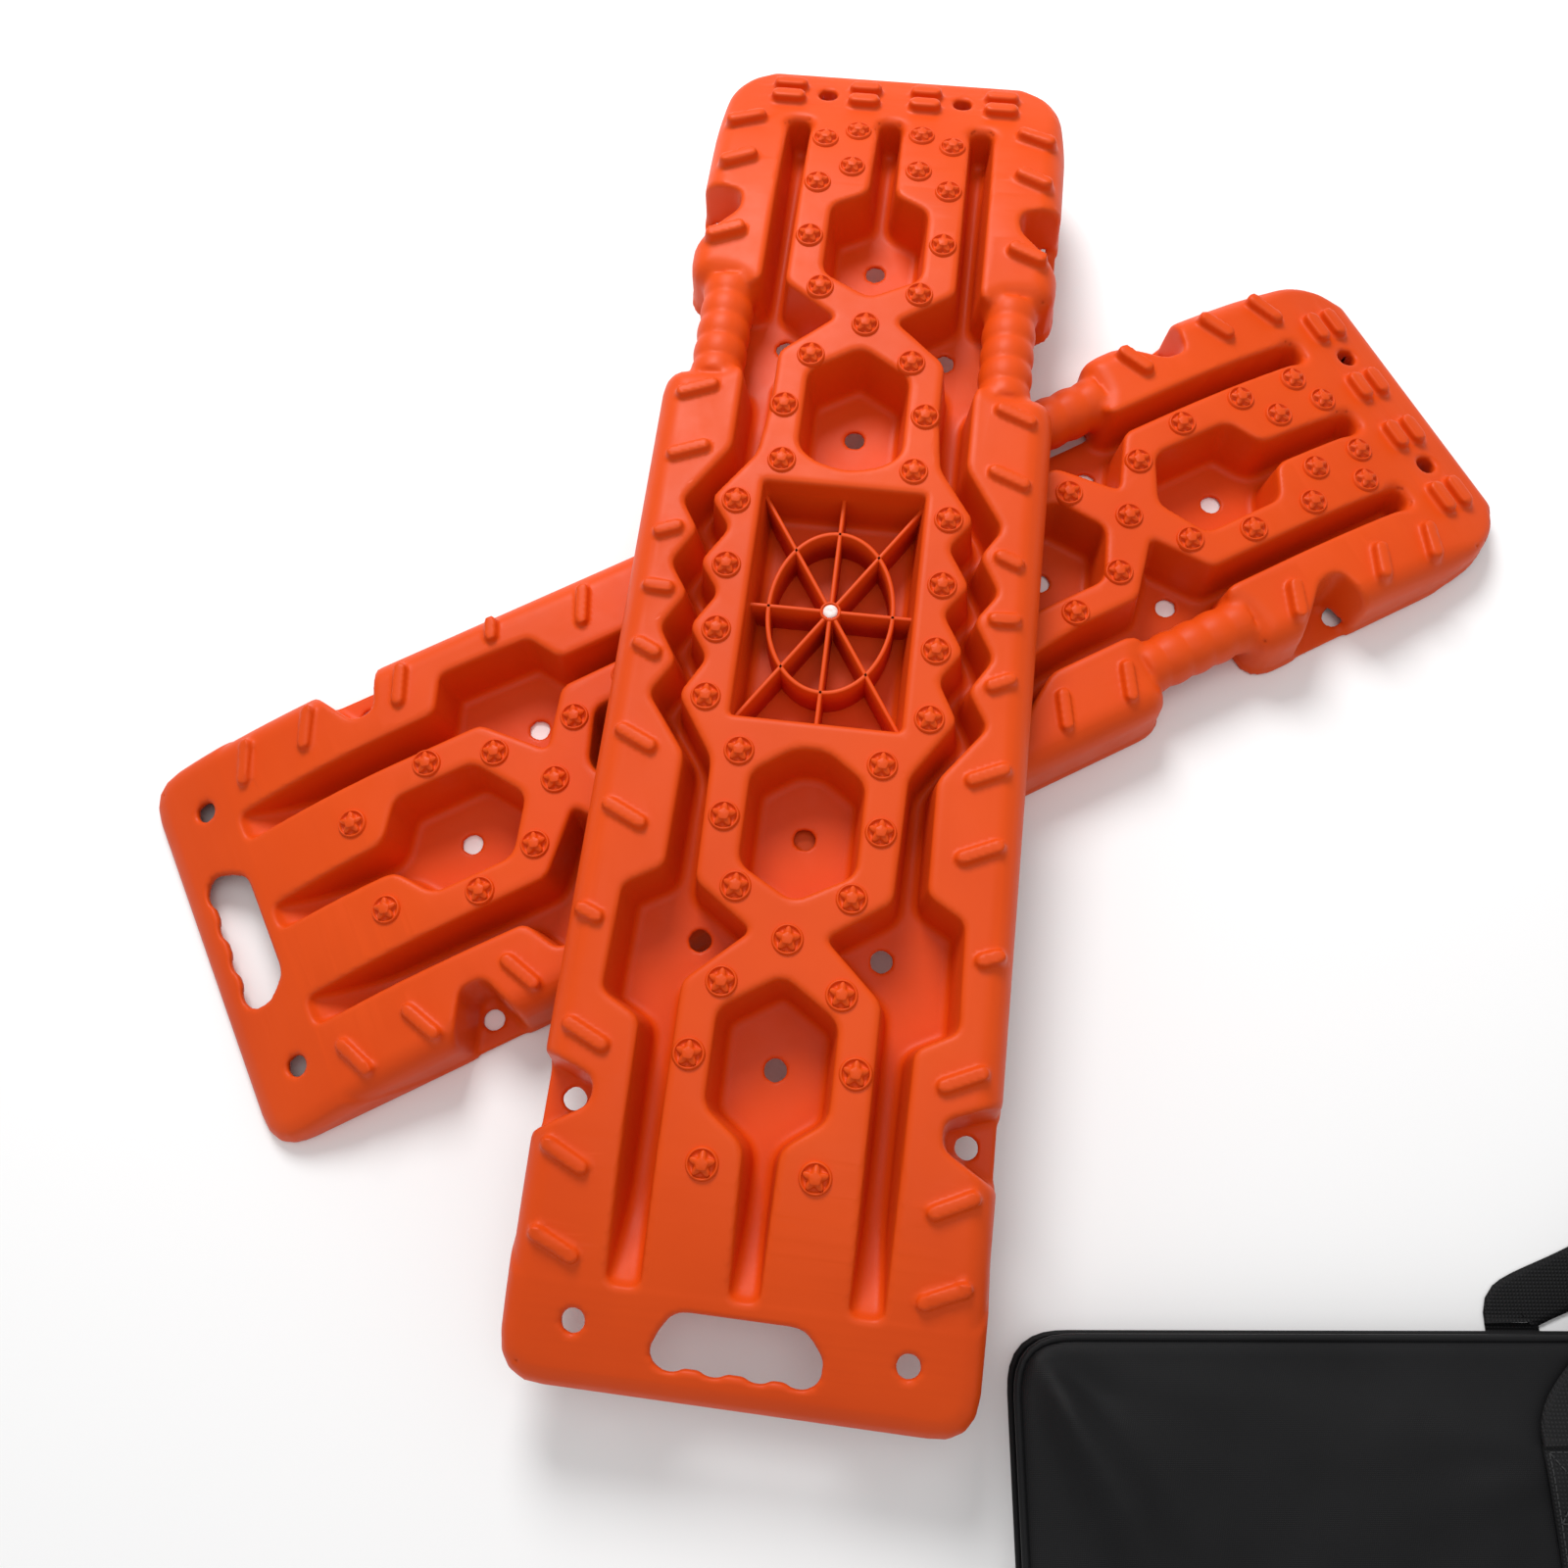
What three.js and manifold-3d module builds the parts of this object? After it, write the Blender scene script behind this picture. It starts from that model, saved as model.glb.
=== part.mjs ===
// A pair of tyre traction mats with their carry bag. Millimetres, +Z up.
// Each mat is one thin-walled moulding: a floor pan, a raised centre spine and two raised rails,
// all hollow underneath. One mat lies across the other, and the empty bag lies flat beside them.
import * as THREE from "three";
import { mergeVertices } from "three/addons/utils/BufferGeometryUtils.js";
import Module from "manifold-3d";

const wasm = await Module();
wasm.setup();

// ---- driving dimensions of a mat: x across, y along it, y = 0 at the hub of the centre web ----
const HANDLE_END = -552;
const TOE_END = 525;
const HALF_WIDTH = 155;
const TOE_HALF_WIDTH = 150;
const DECK = 56; // height of the rails and of the spine
const WALL = 4;
const TOE_ARC = { start: 330, radius: 575 };
const HANDLE_ARC = { start: -350, radius: 475 };
const ARC_STEPS = 6;
const TOE_LIFT = { start: 440, height: 14 }; // the sole curves up under the toe
const SHOULDER = 20; // rounding between the deck and the outer skirt
const SKIRT_DRAFT = 2;
const CORNER = 28;
const CHANNEL_END = -486; // where the long channels stop at the handle end
const TOE_BLOCK = 456; // where they stop at the toe
const OVERRUN = 14; // how far the rails and the spine run on under the end aprons
const MAIN_RAIL_END = 197;
const TOE_RAIL_START = 276;
const PAN_AT_GRIP = 100; // the floor pan reaches in under the grips

const HOLE_RADIUS = 7.8;
const WEB = { top: 38, rib: 3, ringX: 48, ringY: 67, hub: 7, halfX: 62, halfY: 96 };
const GRIP = { x: 114, overlap: 7, radius: 21, neck: 17.5, bore: 14, ridges: 4, height: 34 };
const STUD = { radius: 10, top: 8, rise: 5, foot: 3, sides: 5 };
const CLEAT = { width: 8, rise: 5, foot: 3 };

// ---- how the pieces lie ----
const GAP = 0.3;
const STACK = DECK + STUD.rise + GAP;
const LOWER_MAT = { x: 20, y: -2.3, turn: -57.1 };
const BAG_PLACE = { x: 743, y: -587, turn: 7.15 };

// ---- driving dimensions of the bag on its back panel: x along it, y towards its handles ----
const BAG = { length: 1100, width: 345, thickness: 56, edge: 44, corner: 25 };
const PIPING = 5;
const CROWN = 64; // how far in from the edge the front panel slopes
const WEBBING = { width: 36, thickness: 2.2 };
const BAND_X = 203; // centre of each webbing band, either side of the middle
const HANDLE = { root: BAG.width / 2 - CROWN, reach: 272, flat: 60, tilt: -11, backClearance: 5 };
const ZIP = { length: 1040, height: 28, thickness: 2, slider: 12, puller: 34 };

const rad = THREE.MathUtils.degToRad;

// ---- solids ----
function solid(geometry) {
  geometry.deleteAttribute("normal");
  geometry.deleteAttribute("uv");
  const merged = mergeVertices(geometry, 1e-3);
  return new wasm.Manifold(
    new wasm.Mesh({
      numProp: 3,
      vertProperties: new Float32Array(merged.attributes.position.array),
      triVerts: new Uint32Array(merged.index.array),
    }),
  );
}

function geometryOf(manifold) {
  const mesh = manifold.getMesh();
  const geometry = new THREE.BufferGeometry();
  geometry.setAttribute("position", new THREE.BufferAttribute(mesh.vertProperties, 3));
  geometry.setIndex(new THREE.BufferAttribute(mesh.triVerts, 1));
  geometry.computeVertexNormals();
  return geometry;
}

function extrusion(points, depth) {
  const shape = new THREE.Shape(points.map(([x, y]) => new THREE.Vector2(x, y)));
  return new THREE.ExtrudeGeometry(shape, { depth, bevelEnabled: false });
}

// A prism that stands on an outline in the XY plane.
function prism(points, low, high) {
  return solid(extrusion(points, high - low).translate(0, 0, low));
}

// A (y, z) profile that runs across, from x = low to x = high.
function acrossX(points, low, high) {
  const turn = new THREE.Matrix4().makeBasis(
    new THREE.Vector3(0, 1, 0),
    new THREE.Vector3(0, 0, 1),
    new THREE.Vector3(1, 0, 0),
  );
  return solid(extrusion(points, high - low).applyMatrix4(turn).translate(low, 0, 0));
}

// An (x, z) profile that runs from y = low to y = high.
function alongY(points, low, high) {
  const turn = new THREE.Matrix4().makeBasis(
    new THREE.Vector3(1, 0, 0),
    new THREE.Vector3(0, 0, 1),
    new THREE.Vector3(0, -1, 0),
  );
  return solid(extrusion(points, high - low).applyMatrix4(turn).translate(0, high, 0));
}

function box(x, y, z, width, length, height, turn = 0) {
  const geometry = new THREE.BoxGeometry(width, length, height);
  return solid(geometry.rotateZ(turn).translate(x, y, z));
}

function post(x, y, low, high, radius, sides, topRadius = radius) {
  const geometry = new THREE.CylinderGeometry(topRadius, radius, high - low, sides);
  return solid(geometry.rotateX(rad(90)).translate(x, y, (low + high) / 2));
}

function join(solids) {
  return solids.reduce((whole, next) => whole.add(next));
}

// ---- outlines: lists of points, anticlockwise ----
function edgeNormal(from, to) {
  const length = Math.hypot(to[0] - from[0], to[1] - from[1]);
  return [(to[1] - from[1]) / length, (from[0] - to[0]) / length];
}

// Moves every edge outwards by a distance, or inwards where it is negative.
function offset(points, distance) {
  return points.map((point, i) => {
    const before = edgeNormal(points[(i + points.length - 1) % points.length], point);
    const after = edgeNormal(point, points[(i + 1) % points.length]);
    const scale = distance / (1 + before[0] * after[0] + before[1] * after[1]);
    return [point[0] + (before[0] + after[0]) * scale, point[1] + (before[1] + after[1]) * scale];
  });
}

function mirrored(points) {
  return points.map(([x, y]) => [-x, y]).reverse();
}

function bothSides(outlines) {
  return outlines.flatMap((outline) => [outline, mirrored(outline)]);
}

// A right-hand side, listed from low y to high y, closed by its mirror image.
function symmetric(right) {
  return [...right, ...mirrored(right.filter(([x]) => x > 0))];
}

function arc(cx, cy, radius, from, to, steps) {
  return Array.from({ length: steps + 1 }, (_, i) => {
    const angle = rad(from + ((to - from) * i) / steps);
    return [cx + radius * Math.cos(angle), cy + radius * Math.sin(angle)];
  });
}

function ellipse(radiusX, radiusY, steps) {
  return Array.from({ length: steps }, (_, i) => {
    const angle = rad((360 * (i + 0.5)) / steps);
    return [radiusX * Math.cos(angle), radiusY * Math.sin(angle)];
  });
}

const HANDLE_CORNER = arc(HALF_WIDTH - CORNER, HANDLE_END + CORNER, CORNER, -90, 0, 3);
const TOE_CORNER = [[TOE_HALF_WIDTH, 450], [143, 490], [124, 517], [108, TOE_END]];
const HANDLE_APRON = symmetric([...HANDLE_CORNER, [HALF_WIDTH, CHANNEL_END]]);
const TOE_APRON = symmetric([[149, TOE_BLOCK], ...TOE_CORNER.slice(1)]);

const MAT_OUTLINE = symmetric([
  ...HANDLE_CORNER,
  [HALF_WIDTH, MAIN_RAIL_END],
  [PAN_AT_GRIP, MAIN_RAIL_END],
  [PAN_AT_GRIP, TOE_RAIL_START],
  [TOE_HALF_WIDTH, TOE_RAIL_START],
  ...TOE_CORNER,
]);

const SPINE = symmetric([
  [67, CHANNEL_END - OVERRUN], [67, -289], [25, -250], [68, -220], [70, -130],
  [100, -84], [84, -54], [100, -30], [83, -1], [100, 23], [82, 53], [99, 77],
  [70, 119], [65, 164], [65, 212], [24, 248], [68, 278], [67, TOE_BLOCK + OVERRUN],
]);

const MAIN_RAIL = [
  [HALF_WIDTH, CHANNEL_END - OVERRUN], [HALF_WIDTH, MAIN_RAIL_END], [94, MAIN_RAIL_END], [90, 187],
  [90, 122], [121, 73], [106, 49], [122, 20], [106, -4], [122, -33], [106, -59], [122, -86],
  [90, -129], [91, -212], [118, -228], [120, -302], [92, -317], [89, CHANNEL_END - OVERRUN],
];

const TOE_RAIL = [
  [TOE_HALF_WIDTH, TOE_RAIL_START], [TOE_HALF_WIDTH, 450], [146.5, TOE_BLOCK + OVERRUN],
  [87, TOE_BLOCK + OVERRUN], [88, TOE_RAIL_START],
];

// Wells sunk through the spine down to the floor pan, from the toe to the handle end.
const WELLS = [
  symmetric([[0, 269], [40, 290], [40, 357], [11, 372], [10, TOE_BLOCK + 2]]),
  symmetric([[0, 110], [25, 116], [40, 128], [40, 197], [0, 222]]),
  symmetric([[WEB.halfX, -WEB.halfY], [WEB.halfX, WEB.halfY]]),
  symmetric([[0, -227], [41, -204], [41, -137], [11, -116]]),
  symmetric([[10, CHANNEL_END], [12, -390], [41, -369], [41, -305], [0, -278]]),
];

// Pockets in the outer side of the rails, each with a fixing hole in its floor.
const SIDE_NOTCHES = [
  [[116, -377], [165, -406], [165, -340], [116, -359]],
  [[115, 347], [165, 294], [165, 377], [115, 363]],
];

// The hand slot, with finger scallops on the side of the end edge.
const HAND_SLOT = [
  [-44, -496], [-56, -515], [-50, -529], [-29, -527], [-1, -527],
  [28, -527], [50, -529], [56, -515], [41, -496],
];

const SIDE_HOLES = [[108, -510], [135, -371], [65, -251], [65.5, 250], [58, 492], [133, 365]];
const CENTRE_HOLES = [-335, -168, 170, 332.5];

const SIDE_STUDS = [
  [36.7, -405], [55.2, -337], [40.4, -287], [40, -221], [54.8, -172], [50.8, -123], [80.3, -84.6],
  [80.2, -31.4], [80, 21.2], [80.1, 75.7], [50.3, 114], [54.5, 162.6], [39.4, 210], [39.6, 274],
  [54, 323], [53.8, 378.4], [27.6, 398.6], [53.2, 430.2], [26.7, 442.3],
];
const CENTRE_STUDS = [-253.7, 242];

// Each rail cleat runs from its inner end to its outer end.
const RAIL_CLEATS = [
  [[107, 453], [134, 442]], [[108, 404], [133, 392]], [[107, 325], [133, 314]],
  [[108, 176], [135, 165]], [[107, 121], [134, 110]], [[117, 50], [134, 43]],
  [[116, -3], [135, -2]], [[118, -57], [135, -49]], [[110, -129], [136, -117]],
  [[108, -186], [136, -173]], [[127, -255], [142, -249]], [[109, -340], [137, -327]],
  [[110, -419], [138, -405]], [[109, -473], [138, -460]],
];
const TOE_CLEATS = { rows: [481, 499.5], columns: [26, 91], length: 27, width: 11 };

// ---- the mat ----
function deckHeight(y) {
  const beyond = Math.max(y - TOE_ARC.start, HANDLE_ARC.start - y, 0);
  const radius = y > 0 ? TOE_ARC.radius : HANDLE_ARC.radius;
  return DECK - radius + Math.sqrt(radius * radius - beyond * beyond);
}

function stepsBetween(from, to) {
  return Array.from({ length: ARC_STEPS + 1 }, (_, i) => from + ((to - from) * i) / ARC_STEPS);
}

// The space between a sole that lifts at the toe and the deck's curved top, lowered by a depth.
function underDeck(depth, sole) {
  const past = 6;
  const ys = [...stepsBetween(TOE_END, TOE_ARC.start), ...stepsBetween(HANDLE_ARC.start, HANDLE_END)];
  const top = ys.map((y) => [y, deckHeight(y) - depth]);
  const lift = [[TOE_LIFT.start, sole], [490, sole + 4], [TOE_END, sole + TOE_LIFT.height]];
  const profile = [
    [HANDLE_END - past, sole],
    ...lift,
    [TOE_END + past, sole + TOE_LIFT.height],
    [TOE_END + past, top[0][1]],
    ...top,
    [HANDLE_END - past, top[top.length - 1][1]],
  ];
  return acrossX(profile, -HALF_WIDTH - past, HALF_WIDTH + past);
}

// The cross-section of the deck, with rounded outer shoulders.
function betweenSkirts(inset, low) {
  const middle = (MAIN_RAIL_END + TOE_RAIL_START) / 2;
  const stretches = [[HALF_WIDTH, HANDLE_END - 1, middle], [TOE_HALF_WIDTH, middle, TOE_END + 1]];
  const parts = stretches.map(([halfWidth, from, to]) => {
    const side = halfWidth - inset;
    const top = DECK - inset;
    const shoulder = arc(side - SKIRT_DRAFT - SHOULDER, top - SHOULDER, SHOULDER, 0, 90, 3);
    return alongY(symmetric([[side, low], ...shoulder]), from, to);
  });
  return join(parts);
}

// What stands up from the floor pan. Inset 0 is its outer surface, and inset WALL its hollow inside.
function raisedForm(inset) {
  const low = inset > 0 ? -1 : 0;
  const outlines = [SPINE, HANDLE_APRON, TOE_APRON, ...bothSides([MAIN_RAIL, TOE_RAIL])];
  const body = join(outlines.map((outline) => prism(offset(outline, -inset), low, DECK)));
  const sunk = [...WELLS, ...bothSides(SIDE_NOTCHES), HAND_SLOT];
  const wells = join(sunk.map((outline) => prism(offset(outline, inset), low - 1, DECK + 1)));
  return body.subtract(wells).intersect(underDeck(inset, low)).intersect(betweenSkirts(inset, low));
}

function holeCutters() {
  const sides = SIDE_HOLES.flatMap(([x, y]) => [[x, y], [-x, y]]);
  const places = [...sides, ...CENTRE_HOLES.map((y) => [0, y])];
  return join(places.map(([x, y]) => post(x, y, -1, DECK + 1, HOLE_RADIUS, 10)));
}

function studs() {
  const sides = SIDE_STUDS.flatMap(([x, y]) => [[x, y], [-x, y]]);
  const places = [...sides, ...CENTRE_STUDS.map((y) => [0, y])];
  return places.map(([x, y]) => {
    const deck = deckHeight(y);
    return post(x, y, deck - STUD.foot, deck + STUD.rise, STUD.radius, STUD.sides, STUD.top);
  });
}

function bar(x, y, length, width, turn) {
  const middle = deckHeight(y) + (CLEAT.rise - CLEAT.foot) / 2;
  return box(x, y, middle, length, width, CLEAT.rise + CLEAT.foot, turn);
}

function cleats() {
  const rails = bothSides(RAIL_CLEATS).map(([from, to]) => {
    const length = Math.hypot(to[0] - from[0], to[1] - from[1]);
    const turn = Math.atan2(to[1] - from[1], to[0] - from[0]);
    return bar((from[0] + to[0]) / 2, (from[1] + to[1]) / 2, length, CLEAT.width, turn);
  });
  const columns = TOE_CLEATS.columns.flatMap((x) => [x, -x]);
  const toe = TOE_CLEATS.rows.flatMap((y) =>
    columns.map((x) => bar(x, y, TOE_CLEATS.length, TOE_CLEATS.width, 0)),
  );
  return [...rails, ...toe];
}

// The centre web: eight spokes, an oval ring and a hub, standing on the floor of the centre well.
function centreWeb() {
  const reach = 2;
  const corner = Math.atan2(WEB.halfY, WEB.halfX);
  const span = 2 * Math.hypot(WEB.halfX, WEB.halfY);
  const middle = WEB.top / 2;
  const spokes = [0, Math.PI / 2, corner, -corner].map((turn) =>
    box(0, 0, middle, span, WEB.rib, WEB.top, turn),
  );
  const outer = prism(ellipse(WEB.ringX, WEB.ringY, 20), 0, WEB.top);
  const inner = prism(ellipse(WEB.ringX - WEB.rib, WEB.ringY - WEB.rib, 20), -1, WEB.top + 1);
  const hub = post(0, 0, 0, WEB.top, WEB.hub, 8);
  const well = symmetric([[WEB.halfX, -WEB.halfY], [WEB.halfX, WEB.halfY]]);
  const bounds = prism(offset(well, reach), WALL - 1, WEB.top);
  return join([...spokes, outer.subtract(inner), hub]).intersect(bounds);
}

// A ribbed grip that bridges the gap between the two rails, open along its underside.
function grip() {
  const from = MAIN_RAIL_END - GRIP.overlap;
  const to = TOE_RAIL_START + GRIP.overlap;
  const pitch = (to - from) / GRIP.ridges;
  const profile = [new THREE.Vector2(0, from), new THREE.Vector2(GRIP.neck, from)];
  for (let i = 0; i < GRIP.ridges; i += 1) {
    profile.push(new THREE.Vector2(GRIP.radius, from + pitch * (i + 0.5)));
    profile.push(new THREE.Vector2(GRIP.neck, from + pitch * (i + 1)));
  }
  profile.push(new THREE.Vector2(0, to));
  const bellows = solid(new THREE.LatheGeometry(profile, 10).translate(0, 0, GRIP.height));
  const bore = [[GRIP.bore, 0], [GRIP.bore, GRIP.height + 6], [6, GRIP.height + GRIP.bore]];
  return bellows.subtract(alongY(symmetric(bore), from - 1, to + 1));
}

function mat() {
  const pan = prism(MAT_OUTLINE, 0, WALL).intersect(underDeck(0, 0));
  const grips = [grip().translate(GRIP.x, 0, 0), grip().translate(-GRIP.x, 0, 0)];
  const shell = pan
    .add(raisedForm(0))
    .add(join([...studs(), ...cleats()]))
    .subtract(raisedForm(WALL))
    .subtract(prism(HAND_SLOT, -1, DECK))
    .subtract(holeCutters());
  return shell.add(centreWeb()).add(join(grips));
}

// ---- the bag ----
function roundedRectangle(length, width, corner) {
  const x = length / 2 - corner;
  const y = width / 2 - corner;
  return symmetric([...arc(x, -y, corner, -90, 0, 3), ...arc(x, y, corner, 0, 90, 3)]);
}

const BAG_OUTLINE = roundedRectangle(BAG.length, BAG.width, BAG.corner);
const BAG_LOW = WEBBING.thickness + GAP; // the shell lies on its webbing
const ZIP_MIDDLE = (BAG_LOW + BAG.edge - 1) / 2;

// The bag's flat back, upright sides and crowned front, between two ends.
function crowned(halfSpan) {
  return [
    [-halfSpan, BAG_LOW], [halfSpan, BAG_LOW], [halfSpan, BAG.edge],
    [halfSpan - CROWN, BAG.thickness], [CROWN - halfSpan, BAG.thickness], [-halfSpan, BAG.edge],
  ];
}

function bagShell() {
  const outline = offset(BAG_OUTLINE, -PIPING - GAP);
  const length = alongY(crowned(BAG.length / 2), -BAG.width, BAG.width);
  const width = acrossX(crowned(BAG.width / 2), -BAG.length, BAG.length);
  return prism(outline, BAG_LOW, BAG.thickness).intersect(length).intersect(width);
}

function bagPiping(low) {
  const inner = prism(offset(BAG_OUTLINE, -PIPING), low - 1, low + PIPING + 1);
  return prism(BAG_OUTLINE, low, low + PIPING).subtract(inner);
}

// One band of webbing: over the front panel, round the bottom of the bag and under the back panel.
function webbingBand() {
  const thick = WEBBING.thickness;
  const front = BAG.thickness + GAP;
  const bottom = -BAG.width / 2 - GAP;
  const top = BAG.width / 2;
  const edge = BAG.edge + GAP;
  const root = HANDLE.root;
  const profile = [
    [bottom - thick, 0], [top, 0], [top, thick], [bottom, thick], [bottom, edge],
    [-root, front], [root, front], [root, front + thick], [-root, front + thick],
    [bottom - thick, edge + thick],
  ];
  return acrossX(profile, -WEBBING.width / 2, WEBBING.width / 2);
}

// A webbing loop that lies flat, from its two roots at y = 0 to its flat top at y = reach.
function handleLoop(reach) {
  const outer = [
    [-BAND_X - WEBBING.width / 2, 0], [-BAND_X + WEBBING.width / 2, 0],
    [-HANDLE.flat, reach - WEBBING.width], [HANDLE.flat, reach - WEBBING.width],
    [BAND_X - WEBBING.width / 2, 0], [BAND_X + WEBBING.width / 2, 0],
    [HANDLE.flat, reach], [-HANDLE.flat, reach],
  ];
  return prism(outer, 0, WEBBING.thickness);
}

function zipperTape() {
  const y = BAG.width / 2 - PIPING + ZIP.thickness / 2;
  return box(0, y, ZIP_MIDDLE, ZIP.length, ZIP.thickness, ZIP.height);
}

// The slider hangs on the tape at the right end of the zip, and its puller lies along the tape.
function zipperSlider() {
  return box(0, ZIP.slider / 4, 0, ZIP.slider, ZIP.slider / 2, ZIP.slider);
}

function zipperPuller() {
  return box(ZIP.puller / 2, 1, 0, ZIP.puller, 2, ZIP.slider * 0.6);
}

// ---- materials ----
const orange = new THREE.MeshStandardMaterial({ color: 0xf0561e, roughness: 0.42, metalness: 0 });
const fabric = new THREE.MeshStandardMaterial({ color: 0x202021, roughness: 0.85, metalness: 0 });
const webbing = new THREE.MeshStandardMaterial({ color: 0x2a2a2b, roughness: 0.8, metalness: 0 });
const metal = new THREE.MeshStandardMaterial({ color: 0x3a3a3c, roughness: 0.4, metalness: 0.9 });

// ---- assembly ----
function piece(name, manifold, material, x = 0, y = 0, z = 0) {
  const mesh = new THREE.Mesh(geometryOf(manifold), material);
  mesh.name = name;
  mesh.position.set(x, y, z);
  return mesh;
}

function matPair() {
  const form = mat();
  const upper = piece("upper_mat", form, orange, 0, 0, STACK);
  const lower = piece("lower_mat", form, orange, LOWER_MAT.x, LOWER_MAT.y);
  lower.rotation.z = rad(LOWER_MAT.turn);
  return [upper, lower];
}

function handles() {
  const front = piece("handle_front", handleLoop(HANDLE.reach - HANDLE.root), webbing);
  front.position.set(0, HANDLE.root + 2 * GAP, BAG.thickness + 2 * GAP);
  front.rotation.x = rad(HANDLE.tilt);
  const backRoot = BAG.width / 2 + HANDLE.backClearance;
  const back = piece("handle_back", handleLoop(HANDLE.reach - backRoot), webbing, 0, backRoot, 0);
  return [front, back];
}

function bag() {
  const tapeFace = BAG.width / 2 - PIPING + ZIP.thickness + GAP;
  const sliderX = ZIP.length / 2 - ZIP.slider;
  return [
    piece("bag_shell", bagShell(), fabric),
    piece("bag_piping_front", bagPiping(BAG.edge - PIPING - 1), fabric),
    piece("bag_piping_back", bagPiping(BAG_LOW), fabric),
    piece("webbing_band_left", webbingBand(), webbing, -BAND_X),
    piece("webbing_band_right", webbingBand(), webbing, BAND_X),
    ...handles(),
    piece("zipper_tape", zipperTape(), fabric),
    piece("zipper_slider", zipperSlider(), metal, sliderX, tapeFace, ZIP_MIDDLE),
    piece("zipper_puller", zipperPuller(), metal, sliderX, tapeFace + ZIP.slider / 2 + GAP, ZIP_MIDDLE),
  ];
}

const set = new THREE.Group();
set.add(...matPair());

const bagGroup = new THREE.Group();
bagGroup.add(...bag());
bagGroup.position.set(BAG_PLACE.x, BAG_PLACE.y, 0);
bagGroup.rotation.z = rad(BAG_PLACE.turn);
set.add(bagGroup);

// The frame's origin is the middle of the ground under the whole set.
const bounds = new THREE.Box3().setFromObject(set, true);
set.position.set(-(bounds.min.x + bounds.max.x) / 2, -(bounds.min.y + bounds.max.y) / 2, -bounds.min.z);

export default set;
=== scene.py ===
# Looks for a pair of tyre traction mats and their carry bag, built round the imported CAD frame.
import math

import bpy
import numpy as np
from mathutils import Matrix, Vector


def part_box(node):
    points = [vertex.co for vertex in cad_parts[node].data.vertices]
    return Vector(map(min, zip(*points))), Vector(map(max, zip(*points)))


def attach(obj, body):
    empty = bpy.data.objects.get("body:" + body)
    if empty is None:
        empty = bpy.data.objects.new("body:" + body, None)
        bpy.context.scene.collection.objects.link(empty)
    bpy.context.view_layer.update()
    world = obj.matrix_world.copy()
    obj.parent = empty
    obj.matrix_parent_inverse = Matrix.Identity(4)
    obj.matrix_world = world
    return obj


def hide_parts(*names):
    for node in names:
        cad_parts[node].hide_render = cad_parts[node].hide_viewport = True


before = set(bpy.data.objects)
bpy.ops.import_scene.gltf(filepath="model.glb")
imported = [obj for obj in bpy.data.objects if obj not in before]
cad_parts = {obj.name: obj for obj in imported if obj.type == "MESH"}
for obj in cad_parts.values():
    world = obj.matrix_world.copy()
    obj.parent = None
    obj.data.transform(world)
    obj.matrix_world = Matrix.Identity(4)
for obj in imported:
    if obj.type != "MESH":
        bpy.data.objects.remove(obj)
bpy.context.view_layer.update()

MM = 0.001

# ---------------------------------------------------------------- driving dimensions, in millimetres
HANDLE_END = -552
TOE_END = 525
HALF_WIDTH = 155
TOE_HALF_WIDTH = 150
DECK = 56
WALL = 4
TOE_ARC = (330, 575)  # where the deck starts to curve down, and its radius
HANDLE_ARC = (-350, 475)
TOE_LIFT = (440, 14)  # where the sole starts to curve up, and its height at the toe
CHANNEL_END = -486  # the apron at the handle end starts here
RAMP_START = -415  # where the channel floors start to rise towards the handle end
RAMP_SINK = 4  # how far below the deck they stop
TOE_BLOCK = 456  # the apron at the toe starts here
OVERRUN = 40  # how far rails and spine run on under the end aprons
MAIN_RAIL_END = 197
TOE_RAIL_START = 276
HOLE_RADIUS = 7.8
STEP = 2.4  # spacing of the grid that the moulding's surface is drawn on
MAT_FACES = 195_000  # triangles left in one moulding
FLOOR_FILLET = 5
GRIP_FILLET = 4
EDGE_ROUND = 3  # upper edges of the channels and wells
CHANNEL_END_ROUND = 5  # what is added to it where the channels stop at the toe
CHANNEL_STOP = ((434, 450), (466, 476))  # where that comes in, and where it goes out again
SHOULDER = 20  # radius between the deck and the skirt, along the sides
HANDLE_ROUND = 13  # and at the handle end
HANDLE_ROUNDING = (400, 540)  # it changes over this stretch, measured towards that end
TOE_ROUND = 5  # and at the toe
TOE_ROUNDING = (440, 515)
CHANNEL_ROUND = 8  # corners between the channels and the aprons, in plan
PAN_EDGE = 1.2
HOLLOW_EDGE = 2
DRAFT = 0.1  # lean of the channels' walls, per millimetre of depth
SKIRT_DRAFT = 0.04
PAN_AT_GRIP = 100  # the floor pan's edge beside the grips
GRIP = {
    "x": 114, "height": 34, "radius": 20.6, "bore": 13.5, "overlap": 6,
    "ridges": 4, "ridge": 0.9, "ridge_shape": 0.8,
}
LOW_CLEAT = (8.6, 5.6)  # width and rise
HIGH_CLEAT = (9.6, 8.1)
HIGH_CLEATS_FROM = 300  # the rails' cleats are the high ones from here to the toe
TOE_CLEAT = (11, 8.5)
CLEAT_OVERHANG = 4  # how far the rails' cleats run out over the rounded shoulder
CLEAT_FOOT = 8  # how deep they reach down it
CLEAT_DRAFT = 0.2
CLEAT_EDGE = 1.1
CLEAT_FILLET = 1.4
CLEAT_MARGIN = 12  # how far round a cleat the grid is drawn again
CLEAT_HEIGHTS = (10, 80)  # between which heights
APRON_HOLES = (-480, 470)  # holes beyond these go through the aprons, the others through the floor
FAR = 50.0  # stands for a distance that is out of reach
LOWER_TURN = -57.1  # the lower mat's turn, in degrees


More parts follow.
